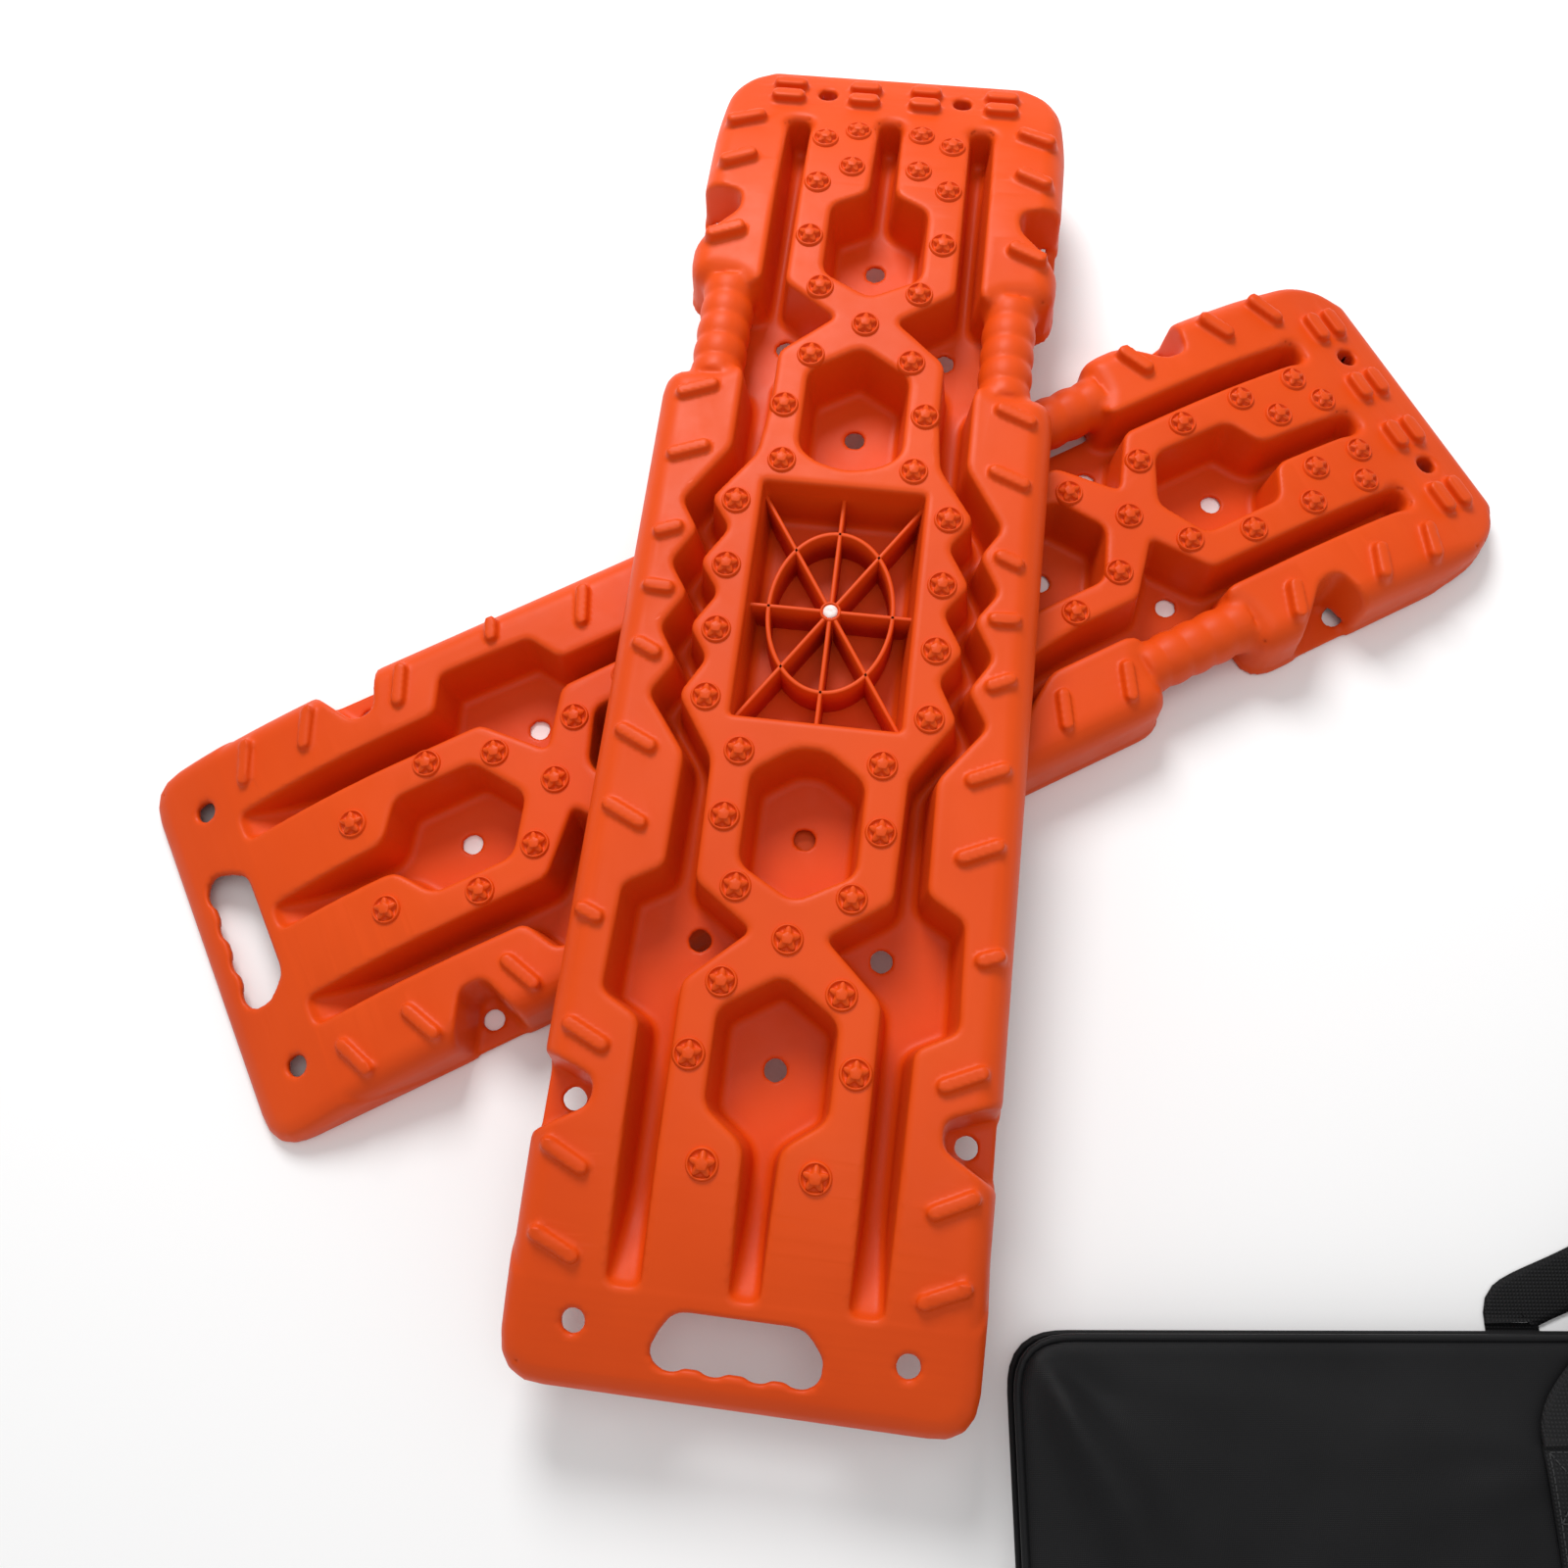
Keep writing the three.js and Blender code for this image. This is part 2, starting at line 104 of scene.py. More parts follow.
# ---------------------------------------------------------------- where things are
upper_low, upper_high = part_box("upper_mat")
HUB = Vector(((upper_low.x + upper_high.x) / 2, upper_low.y - HANDLE_END * MM, upper_low.z))
STUD_TOP = upper_high.z


def lower_mat_place():
    """The lower mat's matrix: its turn is known, and its place comes from its box."""
    turn = math.radians(LOWER_TURN)
    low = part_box("lower_mat")[0]
    axes = np.array([[math.cos(turn), math.sin(turn)], [-math.sin(turn), math.cos(turn)]])
    corner = (np.array(rounded(*MAT_OUTLINE)) @ axes).min(0) * MM
    place = Matrix.Translation((low.x - corner[0], low.y - corner[1], low.z))
    return place @ Matrix.Rotation(turn, 4, "Z")


# ---------------------------------------------------------------- camera
CAMERA_PLACE = Vector((51.61, -439.74, 893.13)) * MM  # from the hub, at the height of the studs
CAMERA_RIGHT = Vector((0.99165, 0.12448, -0.03382))
CAMERA_FORWARD = Vector((-0.07143, 0.31165, -0.94751))
SENSOR_WIDTH = 36.0
LENS = 31.09


def add_camera():
    """Looks at the upper mat as it is seen from above its handle end."""
    data = bpy.data.cameras.new("camera")
    data.sensor_width = SENSOR_WIDTH
    data.lens = LENS
    data.clip_start = 0.01
    camera = bpy.data.objects.new("camera", data)
    bpy.context.scene.collection.objects.link(camera)
    up = CAMERA_RIGHT.cross(CAMERA_FORWARD)
    place = Vector((HUB.x, HUB.y, STUD_TOP)) + CAMERA_PLACE
    axes = Matrix((CAMERA_RIGHT, up, -CAMERA_FORWARD)).transposed().to_4x4()
    camera.matrix_world = Matrix.Translation(place) @ axes
    bpy.context.scene.camera = camera


add_camera()


# ---------------------------------------------------------------- outlines of the mat
# Each shape is a list of corners and the radius that rounds them.
def mirrored(points):
    return [(-x, y) for x, y in reversed(points)]


def symmetric(right):
    """A right-hand side from low y to high y, closed by its mirror image."""
    return right + mirrored([p for p in right if p[0] > 0])


def rounded(points, radius, steps=4):
    """The outline with every corner turned into a short curve."""
    result = []
    count = len(points)
    for i in range(count):
        corner = np.array(points[i], float)
        before = np.array(points[i - 1], float) - corner
        after = np.array(points[(i + 1) % count], float) - corner
        reach = min(radius, 0.45 * np.linalg.norm(before), 0.45 * np.linalg.norm(after))
        start = corner + before / np.linalg.norm(before) * reach
        end = corner + after / np.linalg.norm(after) * reach
        for k in range(steps + 1):
            t = k / steps
            result.append(tuple((1 - t) ** 2 * start + 2 * t * (1 - t) * corner + t * t * end))
    return result


TOE_CORNER = [(TOE_HALF_WIDTH, 450), (144, 489), (129, 512), (109, TOE_END), (100, TOE_END)]
MAT_OUTLINE = (
    symmetric(
        [
            (HALF_WIDTH, HANDLE_END), (HALF_WIDTH, MAIN_RAIL_END), (PAN_AT_GRIP, MAIN_RAIL_END),
            (PAN_AT_GRIP, TOE_RAIL_START), (TOE_HALF_WIDTH, TOE_RAIL_START), *TOE_CORNER,
        ]
    ),
    30,
)
SPINE = (
    symmetric(
        [
            (67, CHANNEL_END - OVERRUN), (67, -289), (25, -250), (68, -220), (70, -130),
            (100, -84), (84, -54), (100, -30), (83, -1), (100, 23), (82, 53), (99, 77),
            (70, 119), (65, 164), (65, 212), (24, 248), (68, 278), (67, TOE_BLOCK + OVERRUN),
        ]
    ),
    6.5,
)
OUTSIDE = 180  # the rails' outlines run out past the skirt, which cuts them
MAIN_RAIL = (
    [
        (OUTSIDE, CHANNEL_END - OVERRUN), (OUTSIDE, MAIN_RAIL_END), (94, MAIN_RAIL_END),
        (90, 187), (90, 122), (121, 73), (106, 49), (122, 20), (106, -4), (122, -33),
        (106, -59), (122, -86), (90, -129), (91, -212), (118, -228), (120, -302), (92, -317),
        (89, CHANNEL_END - OVERRUN),
    ],
    6.5,
)
TOE_RAIL = (
    [
        (OUTSIDE, TOE_RAIL_START), (OUTSIDE, TOE_BLOCK + OVERRUN), (87, TOE_BLOCK + OVERRUN),
        (88, TOE_RAIL_START),
    ],
    10,
)
WELLS = [
    (symmetric([(0, 269), (40, 290), (40, 357), (11, 372), (10, TOE_BLOCK + 4)]), 9),
    (symmetric([(0, 110), (25, 116), (40, 128), (40, 197), (0, 222)]), 9),
    (symmetric([(62, -96), (62, 96)]), 3),
    (symmetric([(0, -227), (41, -204), (41, -137), (11, -116)]), 9),
    (symmetric([(10, CHANNEL_END), (12, -390), (41, -369), (41, -305), (0, -278)]), 9),
]
SIDE_NOTCHES = [
    ([(115, -377), (190, -421), (190, -330), (115, -359)], 9),
    ([(114, 346), (190, 267), (190, 384), (114, 364)], 9),
]
HAND_SLOT = ([(-44, -496), (-56, -515), (-51, -530), (50, -530), (56, -515), (41, -496)], 9)
SCALLOPS = {"middles": (-43, -15, 14, 40.5), "y": -521, "radius": 12, "squeeze": 0.88}
SIDE_HOLES = [(108, -510), (135, -371), (65, -251), (65.5, 250), (58, 492), (133, 365)]
CENTRE_HOLES = [-335, -168, 170, 332.5]

SIDE_STUDS = [
    (36.7, -405), (55.2, -337), (40.4, -287), (40, -221), (54.8, -172), (50.8, -123),
    (80.3, -84.6), (80.2, -31.4), (80, 21.2), (80.1, 75.7), (50.3, 114), (54.5, 162.6),
    (39.4, 210), (39.6, 274), (54, 323), (53.8, 378.4), (27.6, 398.6), (53.2, 430.2),
    (26.7, 442.3),
]
CENTRE_STUDS = [-253.7, 242]
RAIL_CLEATS = [
    ((107, 453), (134, 442)), ((108, 404), (133, 392)), ((107, 325), (133, 314)),
    ((108, 176), (135, 165)), ((107, 121), (134, 110)), ((117, 50), (134, 43)),
    ((116, -3), (135, -2)), ((118, -57), (135, -49)), ((110, -129), (136, -117)),
    ((108, -186), (136, -173)), ((127, -255), (142, -249)), ((109, -340), (137, -327)),
    ((110, -419), (138, -405)), ((109, -473), (138, -460)),
]
TOE_CLEAT_ROWS = (481, 499.5)
TOE_CLEAT_SPANS = ((13, 39), (77, 105))


# ---------------------------------------------------------------- distance fields
def outline_distance(points, x, y):
    """Signed distance to a closed outline, negative inside, at arrays of places."""
    nearest = np.full(x.shape, 1e9)
    inside = np.zeros(x.shape, bool)
    for (ax, ay), (bx, by) in zip(points, points[1:] + points[:1]):
        ex, ey = bx - ax, by - ay
        length = ex * ex + ey * ey
        if length < 1e-9:
            continue
        px, py = x - ax, y - ay
        t = np.clip((px * ex + py * ey) / length, 0, 1)
        nearest = np.minimum(nearest, (px - t * ex) ** 2 + (py - t * ey) ** 2)
        spans = (ay > y) != (by > y)
        inside ^= spans & ((px * ey - py * ex) * np.sign(ey) < 0)
    return np.where(inside, -1, 1) * np.sqrt(nearest)


def shape_distance(shape, x, y):
    return outline_distance(rounded(*shape), x, y)


def round_intersection(a, b, radius):
    """Where both solids are, with the edge between them rounded."""
    outside = np.hypot(np.maximum(a + radius, 0), np.maximum(b + radius, 0))
    return np.minimum(np.maximum(a, b), -radius) + outside


def fillet_union(a, b, radius):
    """Either solid, with a fillet where they meet."""
    inside = np.hypot(np.maximum(radius - a, 0), np.maximum(radius - b, 0))
    return np.maximum(np.minimum(a, b), radius) - inside


def smooth_step(value, low, high):
    t = np.clip((value - low) / (high - low), 0, 1)
    return t * t * (3 - 2 * t)


def deck_height(y):
    start, radius = TOE_ARC
    toe = radius - np.sqrt(radius**2 - np.clip(y - start, 0, 240) ** 2)
    start, radius = HANDLE_ARC
    handle = radius - np.sqrt(radius**2 - np.clip(start - y, 0, 240) ** 2)
    return DECK - toe - handle


def sole_height(y):
    start, height = TOE_LIFT
    return height * (np.clip(y - start, 0, 120) / (TOE_END - start)) ** 2


def floor_height(y):
    """The floor of the channels, which rises to the deck at the handle end."""
    rise = np.clip((RAMP_START - y) / (RAMP_START - CHANNEL_END), 0, 1) ** 2
    return WALL + sole_height(y) + rise * (deck_height(y) - WALL - RAMP_SINK)


# ---------------------------------------------------------------- the moulding
def plan_fields(x, y):
    """Distances in plan: to the raised forms, the skirt, the aprons' openings and the floor's holes."""
    side = np.abs(x)
    rails = np.minimum(shape_distance(MAIN_RAIL, side, y), shape_distance(TOE_RAIL, side, y))
    aprons = np.minimum(y - CHANNEL_END, TOE_BLOCK - y)
    raised = np.minimum(shape_distance(SPINE, x, y), rails)
    raised = fillet_union(raised, aprons, CHANNEL_ROUND)
    sunk = slot = hand_slot_distance(x, y)
    for well in WELLS:
        sunk = np.minimum(sunk, shape_distance(well, x, y))
    for notch in SIDE_NOTCHES:
        sunk = np.minimum(sunk, shape_distance(notch, side, y))
    holes = hole_distance(x, y)
    in_aprons = (y < APRON_HOLES[0]) | (y > APRON_HOLES[1])
    apron_holes = np.where(in_aprons, holes, FAR)
    floor_holes = np.where(in_aprons, FAR, holes)
    raised = np.maximum(raised, -np.minimum(sunk, apron_holes))
    return raised, shape_distance(MAT_OUTLINE, x, y), np.minimum(slot, apron_holes), floor_holes


def hand_slot_distance(x, y):
    """The slot, with a scallop for each finger."""
    slot = shape_distance(HAND_SLOT, x, y)
    for middle in SCALLOPS["middles"]:
        across = (x - middle) * SCALLOPS["squeeze"]
        slot = np.minimum(slot, np.hypot(across, y - SCALLOPS["y"]) - SCALLOPS["radius"])
    return slot


def hole_distance(x, y):
    holes = np.full(x.shape, FAR)
    for hx, hy in SIDE_HOLES:
        holes = np.minimum(holes, np.hypot(np.abs(x) - hx, y - hy) - HOLE_RADIUS)
    for hy in CENTRE_HOLES:
        holes = np.minimum(holes, np.hypot(x, y - hy) - HOLE_RADIUS)
    return holes


def shoulder_radius(y):
    """The radius between deck and skirt, which gets smaller towards both ends."""
    handle = (HANDLE_ROUND - SHOULDER) * smooth_step(-y, *HANDLE_ROUNDING)
    toe = (TOE_ROUND - SHOULDER) * smooth_step(y, *TOE_ROUNDING)
    return SHOULDER + handle + toe


def edge_radius(y):
    """The rounding of the channels' upper edges, which is larger where they stop at the toe."""
    comes, goes = CHANNEL_STOP
    return EDGE_ROUND + CHANNEL_END_ROUND * (smooth_step(y, *comes) - smooth_step(y, *goes))


def raised_form(raised, skirt, deck, z, shoulder, edge, inset):
    """The spine, rails and aprons; inset by the wall it is the hollow inside them."""
    wall = raised - DRAFT * np.maximum(deck - z, 0) + inset
    outer = skirt + SKIRT_DRAFT * z + inset
    form = round_intersection(outer, z - deck + inset, np.maximum(shoulder - inset, 1))
    return round_intersection(form, wall, edge)


def grip_fields(x, y, z):
    """The two ribbed grips, and the bore that leaves them open underneath."""
    across = np.abs(x) - GRIP["x"]
    up = z - GRIP["height"]
    reach = (TOE_RAIL_START - MAIN_RAIL_END) / 2
    along = y - (TOE_RAIL_START + MAIN_RAIL_END) / 2
    wave = np.abs(np.cos(math.pi * GRIP["ridges"] * along / (2 * reach)))
    ridge = 2 * GRIP["ridge"] * wave ** GRIP["ridge_shape"]
    radius = GRIP["radius"] - GRIP["ridge"] + ridge
    outer = np.maximum(np.hypot(across, up) - radius, np.abs(along) - reach - GRIP["overlap"])
    bore = np.where(up > 0, np.hypot(across, up), np.abs(across)) - GRIP["bore"]
    return outer, np.maximum(bore, np.abs(along) - reach + WALL)


def all_cleats():
    """The right-hand cleats: two ends, and width and rise. They stand higher towards the toe."""
    for (x0, y0), (x1, y1) in RAIL_CLEATS:
        grow = CLEAT_OVERHANG / math.hypot(x1 - x0, y1 - y0)
        end = (x1 + (x1 - x0) * grow, y1 + (y1 - y0) * grow)
        yield (x0, y0), end, HIGH_CLEAT if y1 > HIGH_CLEATS_FROM else LOW_CLEAT
    for row in TOE_CLEAT_ROWS:
        for near, far in TOE_CLEAT_SPANS:
            yield (near, row), (far, row), TOE_CLEAT


def add_cleat(field, axes, start, end, size):
    """Joins one round-ended bar to the field, in the few grid cells round it."""
    (x0, y0), (x1, y1) = start, end
    width, rise = size
    limits = (
        (min(x0, x1) - CLEAT_MARGIN, max(x0, x1) + CLEAT_MARGIN),
        (min(y0, y1) - CLEAT_MARGIN, max(y0, y1) + CLEAT_MARGIN),
        CLEAT_HEIGHTS,
    )
    cut = [slice(*np.searchsorted(axis, pair)) for axis, pair in zip(axes, limits)]
    x, y, z = np.meshgrid(*(axis[c] for axis, c in zip(axes, cut)), indexing="ij")
    length = math.hypot(x1 - x0, y1 - y0)
    ux, uy = (x1 - x0) / length, (y1 - y0) / length
    dx, dy = x - (x0 + x1) / 2, y - (y0 + y1) / 2
    along, across = np.abs(dx * ux + dy * uy), np.abs(dy * ux - dx * uy)
    above = z - deck_height((y0 + y1) / 2) - slope(y0) * dy
    straight = length / 2 - width / 2
    side = np.hypot(np.maximum(along - straight, 0), across) - width / 2 + CLEAT_DRAFT * (above - rise)
    bar = round_intersection(side, above - rise, CLEAT_EDGE)
    bar = np.maximum(bar, -above - CLEAT_FOOT)
    field[tuple(cut)] = fillet_union(field[tuple(cut)], bar, CLEAT_FILLET)


def slope(y):
    """How fast the deck rises along the mat."""
    return float(deck_height(y + 1.0) - deck_height(y - 1.0)) / 2


def mat_field(axes):
    """Signed distance to the whole moulding on a grid, in millimetres."""
    x, y = np.meshgrid(axes[0], axes[1], indexing="ij")
    raised, skirt, through, floor_holes = (f[:, :, None] for f in plan_fields(x, y))
    x, y = x[:, :, None], y[:, :, None]
    z = axes[2][None, None, :]
    deck, shoulder = deck_height(y), shoulder_radius(y)
    above_floor = z - floor_height(y)
    through = np.minimum(through, np.maximum(floor_holes, above_floor - FLOOR_FILLET))
    body = round_intersection(skirt + SKIRT_DRAFT * z, z - deck, shoulder)
    pan = round_intersection(np.maximum(skirt, -through), above_floor, PAN_EDGE)
    outer = raised_form(raised, skirt, deck, z, shoulder, edge_radius(y), 0)
    outer = fillet_union(outer, np.maximum(pan, body), FLOOR_FILLET)
    grip, bore = grip_fields(x, y, z)
    outer = fillet_union(outer, grip, GRIP_FILLET)
    for (x0, y0), (x1, y1), size in all_cleats():
        for side in (1, -1):
            add_cleat(outer, axes, (side * x0, y0), (side * x1, y1), size)
    hollow = raised_form(raised, skirt, deck, z, shoulder, HOLLOW_EDGE, WALL)
    under_floor = np.maximum(above_floor, body) + WALL
    hollow = np.minimum(hollow, np.minimum(under_floor, bore))
    whole = np.maximum(np.maximum(outer, -hollow), sole_height(y) - z)
    return np.maximum(whole, -through)


def crossings(field, axis):
    """The grid edges along one axis that the surface crosses.

    Returns where it crosses each, the four cells round it, and whether it comes out of the solid.
    """
    first = np.take(field, range(field.shape[axis] - 1), axis)
    second = np.take(field, range(1, field.shape[axis]), axis)
    edges = np.argwhere((first < 0) != (second < 0))
    a, b = first[tuple(edges.T)], second[tuple(edges.T)]
    places = edges.astype(float)
    places[:, axis] += a / (a - b)
    corners = []
    for back, next_back in ((1, 1), (0, 1), (0, 0), (1, 0)):
        cell = edges.copy()
        cell[:, (axis + 1) % 3] -= back
        cell[:, (axis + 2) % 3] -= next_back
        corners.append(np.ravel_multi_index(cell.T, np.array(field.shape) - 1, mode="clip"))
    return places, np.stack(corners, 1), a < 0


def surface_net(field, axes):
    """Vertices and quads of the surface where a grid field is zero: one vertex for each cell it is in."""
    total = int(np.prod(np.array(field.shape) - 1))
    sums, counts = np.zeros((3, total)), np.zeros(total)
    quads = []
    for axis in range(3):
        places, cells, outward = crossings(field, axis)
        for ids in cells.T:
            counts += np.bincount(ids, minlength=total)
            for k in range(3):
                sums[k] += np.bincount(ids, places[:, k], minlength=total)
        cells[~outward] = cells[~outward][:, ::-1]
        quads.append(cells)
    used = np.flatnonzero(counts)
    number = np.full(total, -1)
    number[used] = np.arange(len(used))
    grid = (sums[:, used] / counts[used]).T
    start = np.array([axis[0] for axis in axes])
    return start + grid * (axes[0][1] - axes[0][0]), number[np.concatenate(quads)]


def mesh_from(name, vertices, faces):
    """A smooth mesh in metres, from vertices in millimetres and faces of equal size."""
    mesh = bpy.data.meshes.new(name)
    faces = np.asarray(faces, np.int32)
    mesh.vertices.add(len(vertices))
    mesh.vertices.foreach_set("co", (np.asarray(vertices) * MM).astype(np.float32).ravel())
    mesh.loops.add(faces.size)
    mesh.loops.foreach_set("vertex_index", faces.ravel())
    mesh.polygons.add(len(faces))
    mesh.polygons.foreach_set("loop_start", np.arange(len(faces), dtype=np.int32) * faces.shape[1])
    mesh.polygons.foreach_set("use_smooth", np.full(len(faces), True))
    mesh.update(calc_edges=True)
    mesh.validate()
    return mesh


def link(name, mesh):
    obj = bpy.data.objects.new(name, mesh)
    bpy.context.scene.collection.objects.link(obj)
    return obj


def add_piece(name, mesh, place, body, slot, *nodes):
    """A mesh in its place on a body; it stands in for the CAD nodes that are named last."""
    piece = link(name, mesh)
    piece.matrix_world = place
    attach(piece, body)
    if nodes:
        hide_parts(*nodes)


def thinned(mesh, ratio):
    """The mesh with only a share of its faces left."""
    holder = link("holder", mesh)
    holder.modifiers.new("thin", "DECIMATE").ratio = ratio
    graph = bpy.context.evaluated_depsgraph_get()
    thin = bpy.data.meshes.new_from_object(holder.evaluated_get(graph))
    bpy.data.objects.remove(holder)
    return thin


def grid_axes(limits, step, before):
    """Grid places along x, y and z, from a few steps before each lower limit to past the upper one."""
    return [np.arange(low - before * step, high + 3 * step, step) for low, high in limits]


def mat_mesh():
    step = STEP
    limits = ((-HALF_WIDTH, HALF_WIDTH), (HANDLE_END, TOE_END), (-2, DECK + LOW_CLEAT[1]))
    axes = grid_axes(limits, step, 2.7)
    vertices, quads = surface_net(mat_field(axes), axes)
    mesh = mesh_from("mat_moulding", vertices, quads)
    faces = 2 * len(quads)
    if faces > MAT_FACES:
        mesh = thinned(mesh, MAT_FACES / faces)
        mesh.name = "mat_moulding"
    return mesh


# ---------------------------------------------------------------- small solids
def ring_quads(count, size, closed=False):
    """The quads between each of a number of rings of vertices, all of one size, and the next."""
    steps = np.arange(size)
    after = (steps + 1) % size
    first = np.stack([steps, after, after + size, steps + size], 1)
    gaps = range(count if closed else count - 1)
    return np.concatenate([(first + k * size) % (count * size) for k in gaps])


def lathe(rings, segments):
    """Vertices and quads of rings, (radius, height); a radius may be a list, one for each segment."""
    angles = np.arange(segments) * 2 * math.pi / segments
    vertices = []
    for radius, height in rings:
        x, y = radius * np.sin(angles), radius * np.cos(angles)
        vertices.append(np.stack([x, y, np.full(segments, height)], 1))
    return np.concatenate(vertices), ring_quads(len(rings), segments)[:, ::-1]


def sweep(path, section, closed):
    """Vertices and quads of an upright section, (sideways, height), carried along a level path."""
    path = np.array(path, float)
    if closed:
        ahead, behind = np.roll(path, -1, 0), np.roll(path, 1, 0)
    else:
        ahead, behind = np.vstack([path[1:], path[-1:]]), np.vstack([path[:1], path[:-1]])
    along = ahead - behind
    along /= np.linalg.norm(along, axis=1)[:, None]
    side = np.stack([along[:, 1], -along[:, 0]], 1)
    section = np.array(section, float)
    count, size = len(path), len(section)
    vertices = np.zeros((count, size, 3))
    vertices[:, :, :2] = path[:, None] + side[:, None] * section[None, :, :1]
    vertices[:, :, 2] = section[None, :, 1]
    return vertices.reshape(-1, 3), ring_quads(count, size, closed)


def merged(parts):
    """Several (vertices, quads) pairs as one."""
    vertices, quads, count = [], [], 0
    for some_vertices, some_quads in parts:
        vertices.append(some_vertices)
        quads.append(some_quads + count)
        count += len(some_vertices)
    return np.concatenate(vertices), np.concatenate(quads)


# ---------------------------------------------------------------- studs and centre web
def stud_form():
    """A round rimmed boss that holds a five-armed star with a flat peg in its middle."""
    segments = 60
    angles = np.arange(segments) * 2 * math.pi / segments
    arms = ((1 + np.cos(5 * angles)) / 2) ** 1.2
    star = 4.9 + 3.9 * arms
    peg = 3.3 + 0.6 * arms
    return lathe(
        [
            (0.01, 5.2), (peg, 5.2), (peg + 0.5, 4.9), (peg + 0.9, 3.9), (star - 0.7, 3.6),
            (star - 0.1, 3.1), (star + 0.2, 0.3), (np.maximum(star + 0.3, 8.9), 0.3),
            (9.2, 1.9), (9.7, 2.2), (10.4, 1.8), (10.8, 0.4), (11.4, -0.4), (11.4, -2.2),
        ],
        segments,
    )


def studs_mesh():
    vertices, quads = stud_form()
    places = [(side * x, y) for x, y in SIDE_STUDS for side in (1, -1)]
    places += [(0, y) for y in CENTRE_STUDS]
    parts = []
    for x, y in places:
        tilt = math.atan(slope(y))
        cosine, sine = math.cos(tilt), math.sin(tilt)
        turned = vertices.copy()
        turned[:, 1] = vertices[:, 1] * cosine - vertices[:, 2] * sine + y
        turned[:, 2] = vertices[:, 1] * sine + vertices[:, 2] * cosine + float(deck_height(y))
        turned[:, 0] += x
        parts.append((turned, quads))
    return mesh_from("mat_studs", *merged(parts))


WEB_FOOT = 2.5  # inside the floor, so that nothing shows between them
WEB_TOP = 38
WEB_REACH = (64, 98)
WEB_RING = (46.5, 65.25)
SPOKE_THICKNESS = 3
RING_THICKNESS = 3.2


def web_section(thickness):
    """A wall that is thicker at its foot, with both upper edges bevelled."""
    half, flare, bevel = thickness / 2, 0.7, 0.6
    return [
        (-half - flare, WEB_FOOT), (half + flare, WEB_FOOT),
        (half, WEB_TOP - bevel), (half - bevel, WEB_TOP),
        (bevel - half, WEB_TOP), (-half, WEB_TOP - bevel),
    ]


def web_mesh():
    """Eight spokes and an oval ring, standing on the floor of the centre well, round a hub."""
    reach_x, reach_y = WEB_REACH
    ends = [(reach_x, 0), (0, reach_y), (reach_x, reach_y), (-reach_x, reach_y)]
    spoke = web_section(SPOKE_THICKNESS)
    parts = [sweep([(-x, -y), (x, y)], spoke, closed=False) for x, y in ends]
    angles = np.linspace(0, 2 * math.pi, 96, endpoint=False)
    oval = [(WEB_RING[0] * math.cos(a), WEB_RING[1] * math.sin(a)) for a in angles]
    parts.append(sweep(oval, web_section(RING_THICKNESS), closed=True))
    hub = [(0.01, 37), (5.9, 37), (6.3, 38.6), (7.2, 38.8), (7.8, 38.2), (8.1, 36), (9.0, 3)]
    parts.append(lathe(hub, 32))
    return mesh_from("mat_web", *merged(parts))


def gate_mark_mesh():
    """The pale button in the middle of the hub."""
    rings = [(0.01, 38.6), (2.2, 38.9), (3.9, 38.8), (5.1, 38.3), (5.6, 37.6), (5.7, 36.8)]
    return mesh_from("mat_gate_mark", *lathe(rings, 24))


# ---------------------------------------------------------------- materials
def new_material(name):
    material = bpy.data.materials.new(name)
    material.use_nodes = True
    return material, material.node_tree, material.node_tree.nodes["Principled BSDF"]


def add_node(tree, kind, **values):
    made = tree.nodes.new(kind)
    for key, value in values.items():
        if key in made.inputs:
            made.inputs[key].default_value = value
        else:
            setattr(made, key, value)
    return made


def texture(tree, kind, **values):
    """The strength of a procedural texture in the piece's own space."""
    place = add_node(tree, "ShaderNodeTexCoord")
    made = add_node(tree, kind, **values)
    tree.links.new(place.outputs["Object"], made.inputs["Vector"])
    return made.outputs["Fac"]


def noise(tree, scale, detail=3.0):
    return texture(tree, "ShaderNodeTexNoise", Scale=scale, Detail=detail)


def ramp(tree, factor, low, high, start=0.3, end=0.7):
    """The factor, stretched from start and end to low and high."""
    made = add_node(tree, "ShaderNodeMapRange")
    limits = {"From Min": start, "From Max": end, "To Min": low, "To Max": high}
    for socket, value in limits.items():
        made.inputs[socket].default_value = value
    tree.links.new(factor, made.inputs["Value"])
    return made.outputs["Result"]


def mix_colour(tree, shader, factor, first, second):
    """A base colour that goes from the first colour to the second."""
    made = add_node(tree, "ShaderNodeMix", data_type="RGBA")
    tree.links.new(factor, made.inputs["Factor"])
    for socket, value in (("A", first), ("B", second)):
        target = [i for i in made.inputs if i.name == socket and i.type == "RGBA"][0]
        target.default_value = (*value, 1)
    colour = [o for o in made.outputs if o.type == "RGBA"][0]
    tree.links.new(colour, shader.inputs["Base Color"])


def bump(tree, shader, height, strength, distance, normal=None):
    made = add_node(tree, "ShaderNodeBump", Strength=strength, Distance=distance)
    tree.links.new(height, made.inputs["Height"])
    if normal is not None:
        tree.links.new(normal, made.inputs["Normal"])
    tree.links.new(made.outputs["Normal"], shader.inputs["Normal"])
    return made.outputs["Normal"]


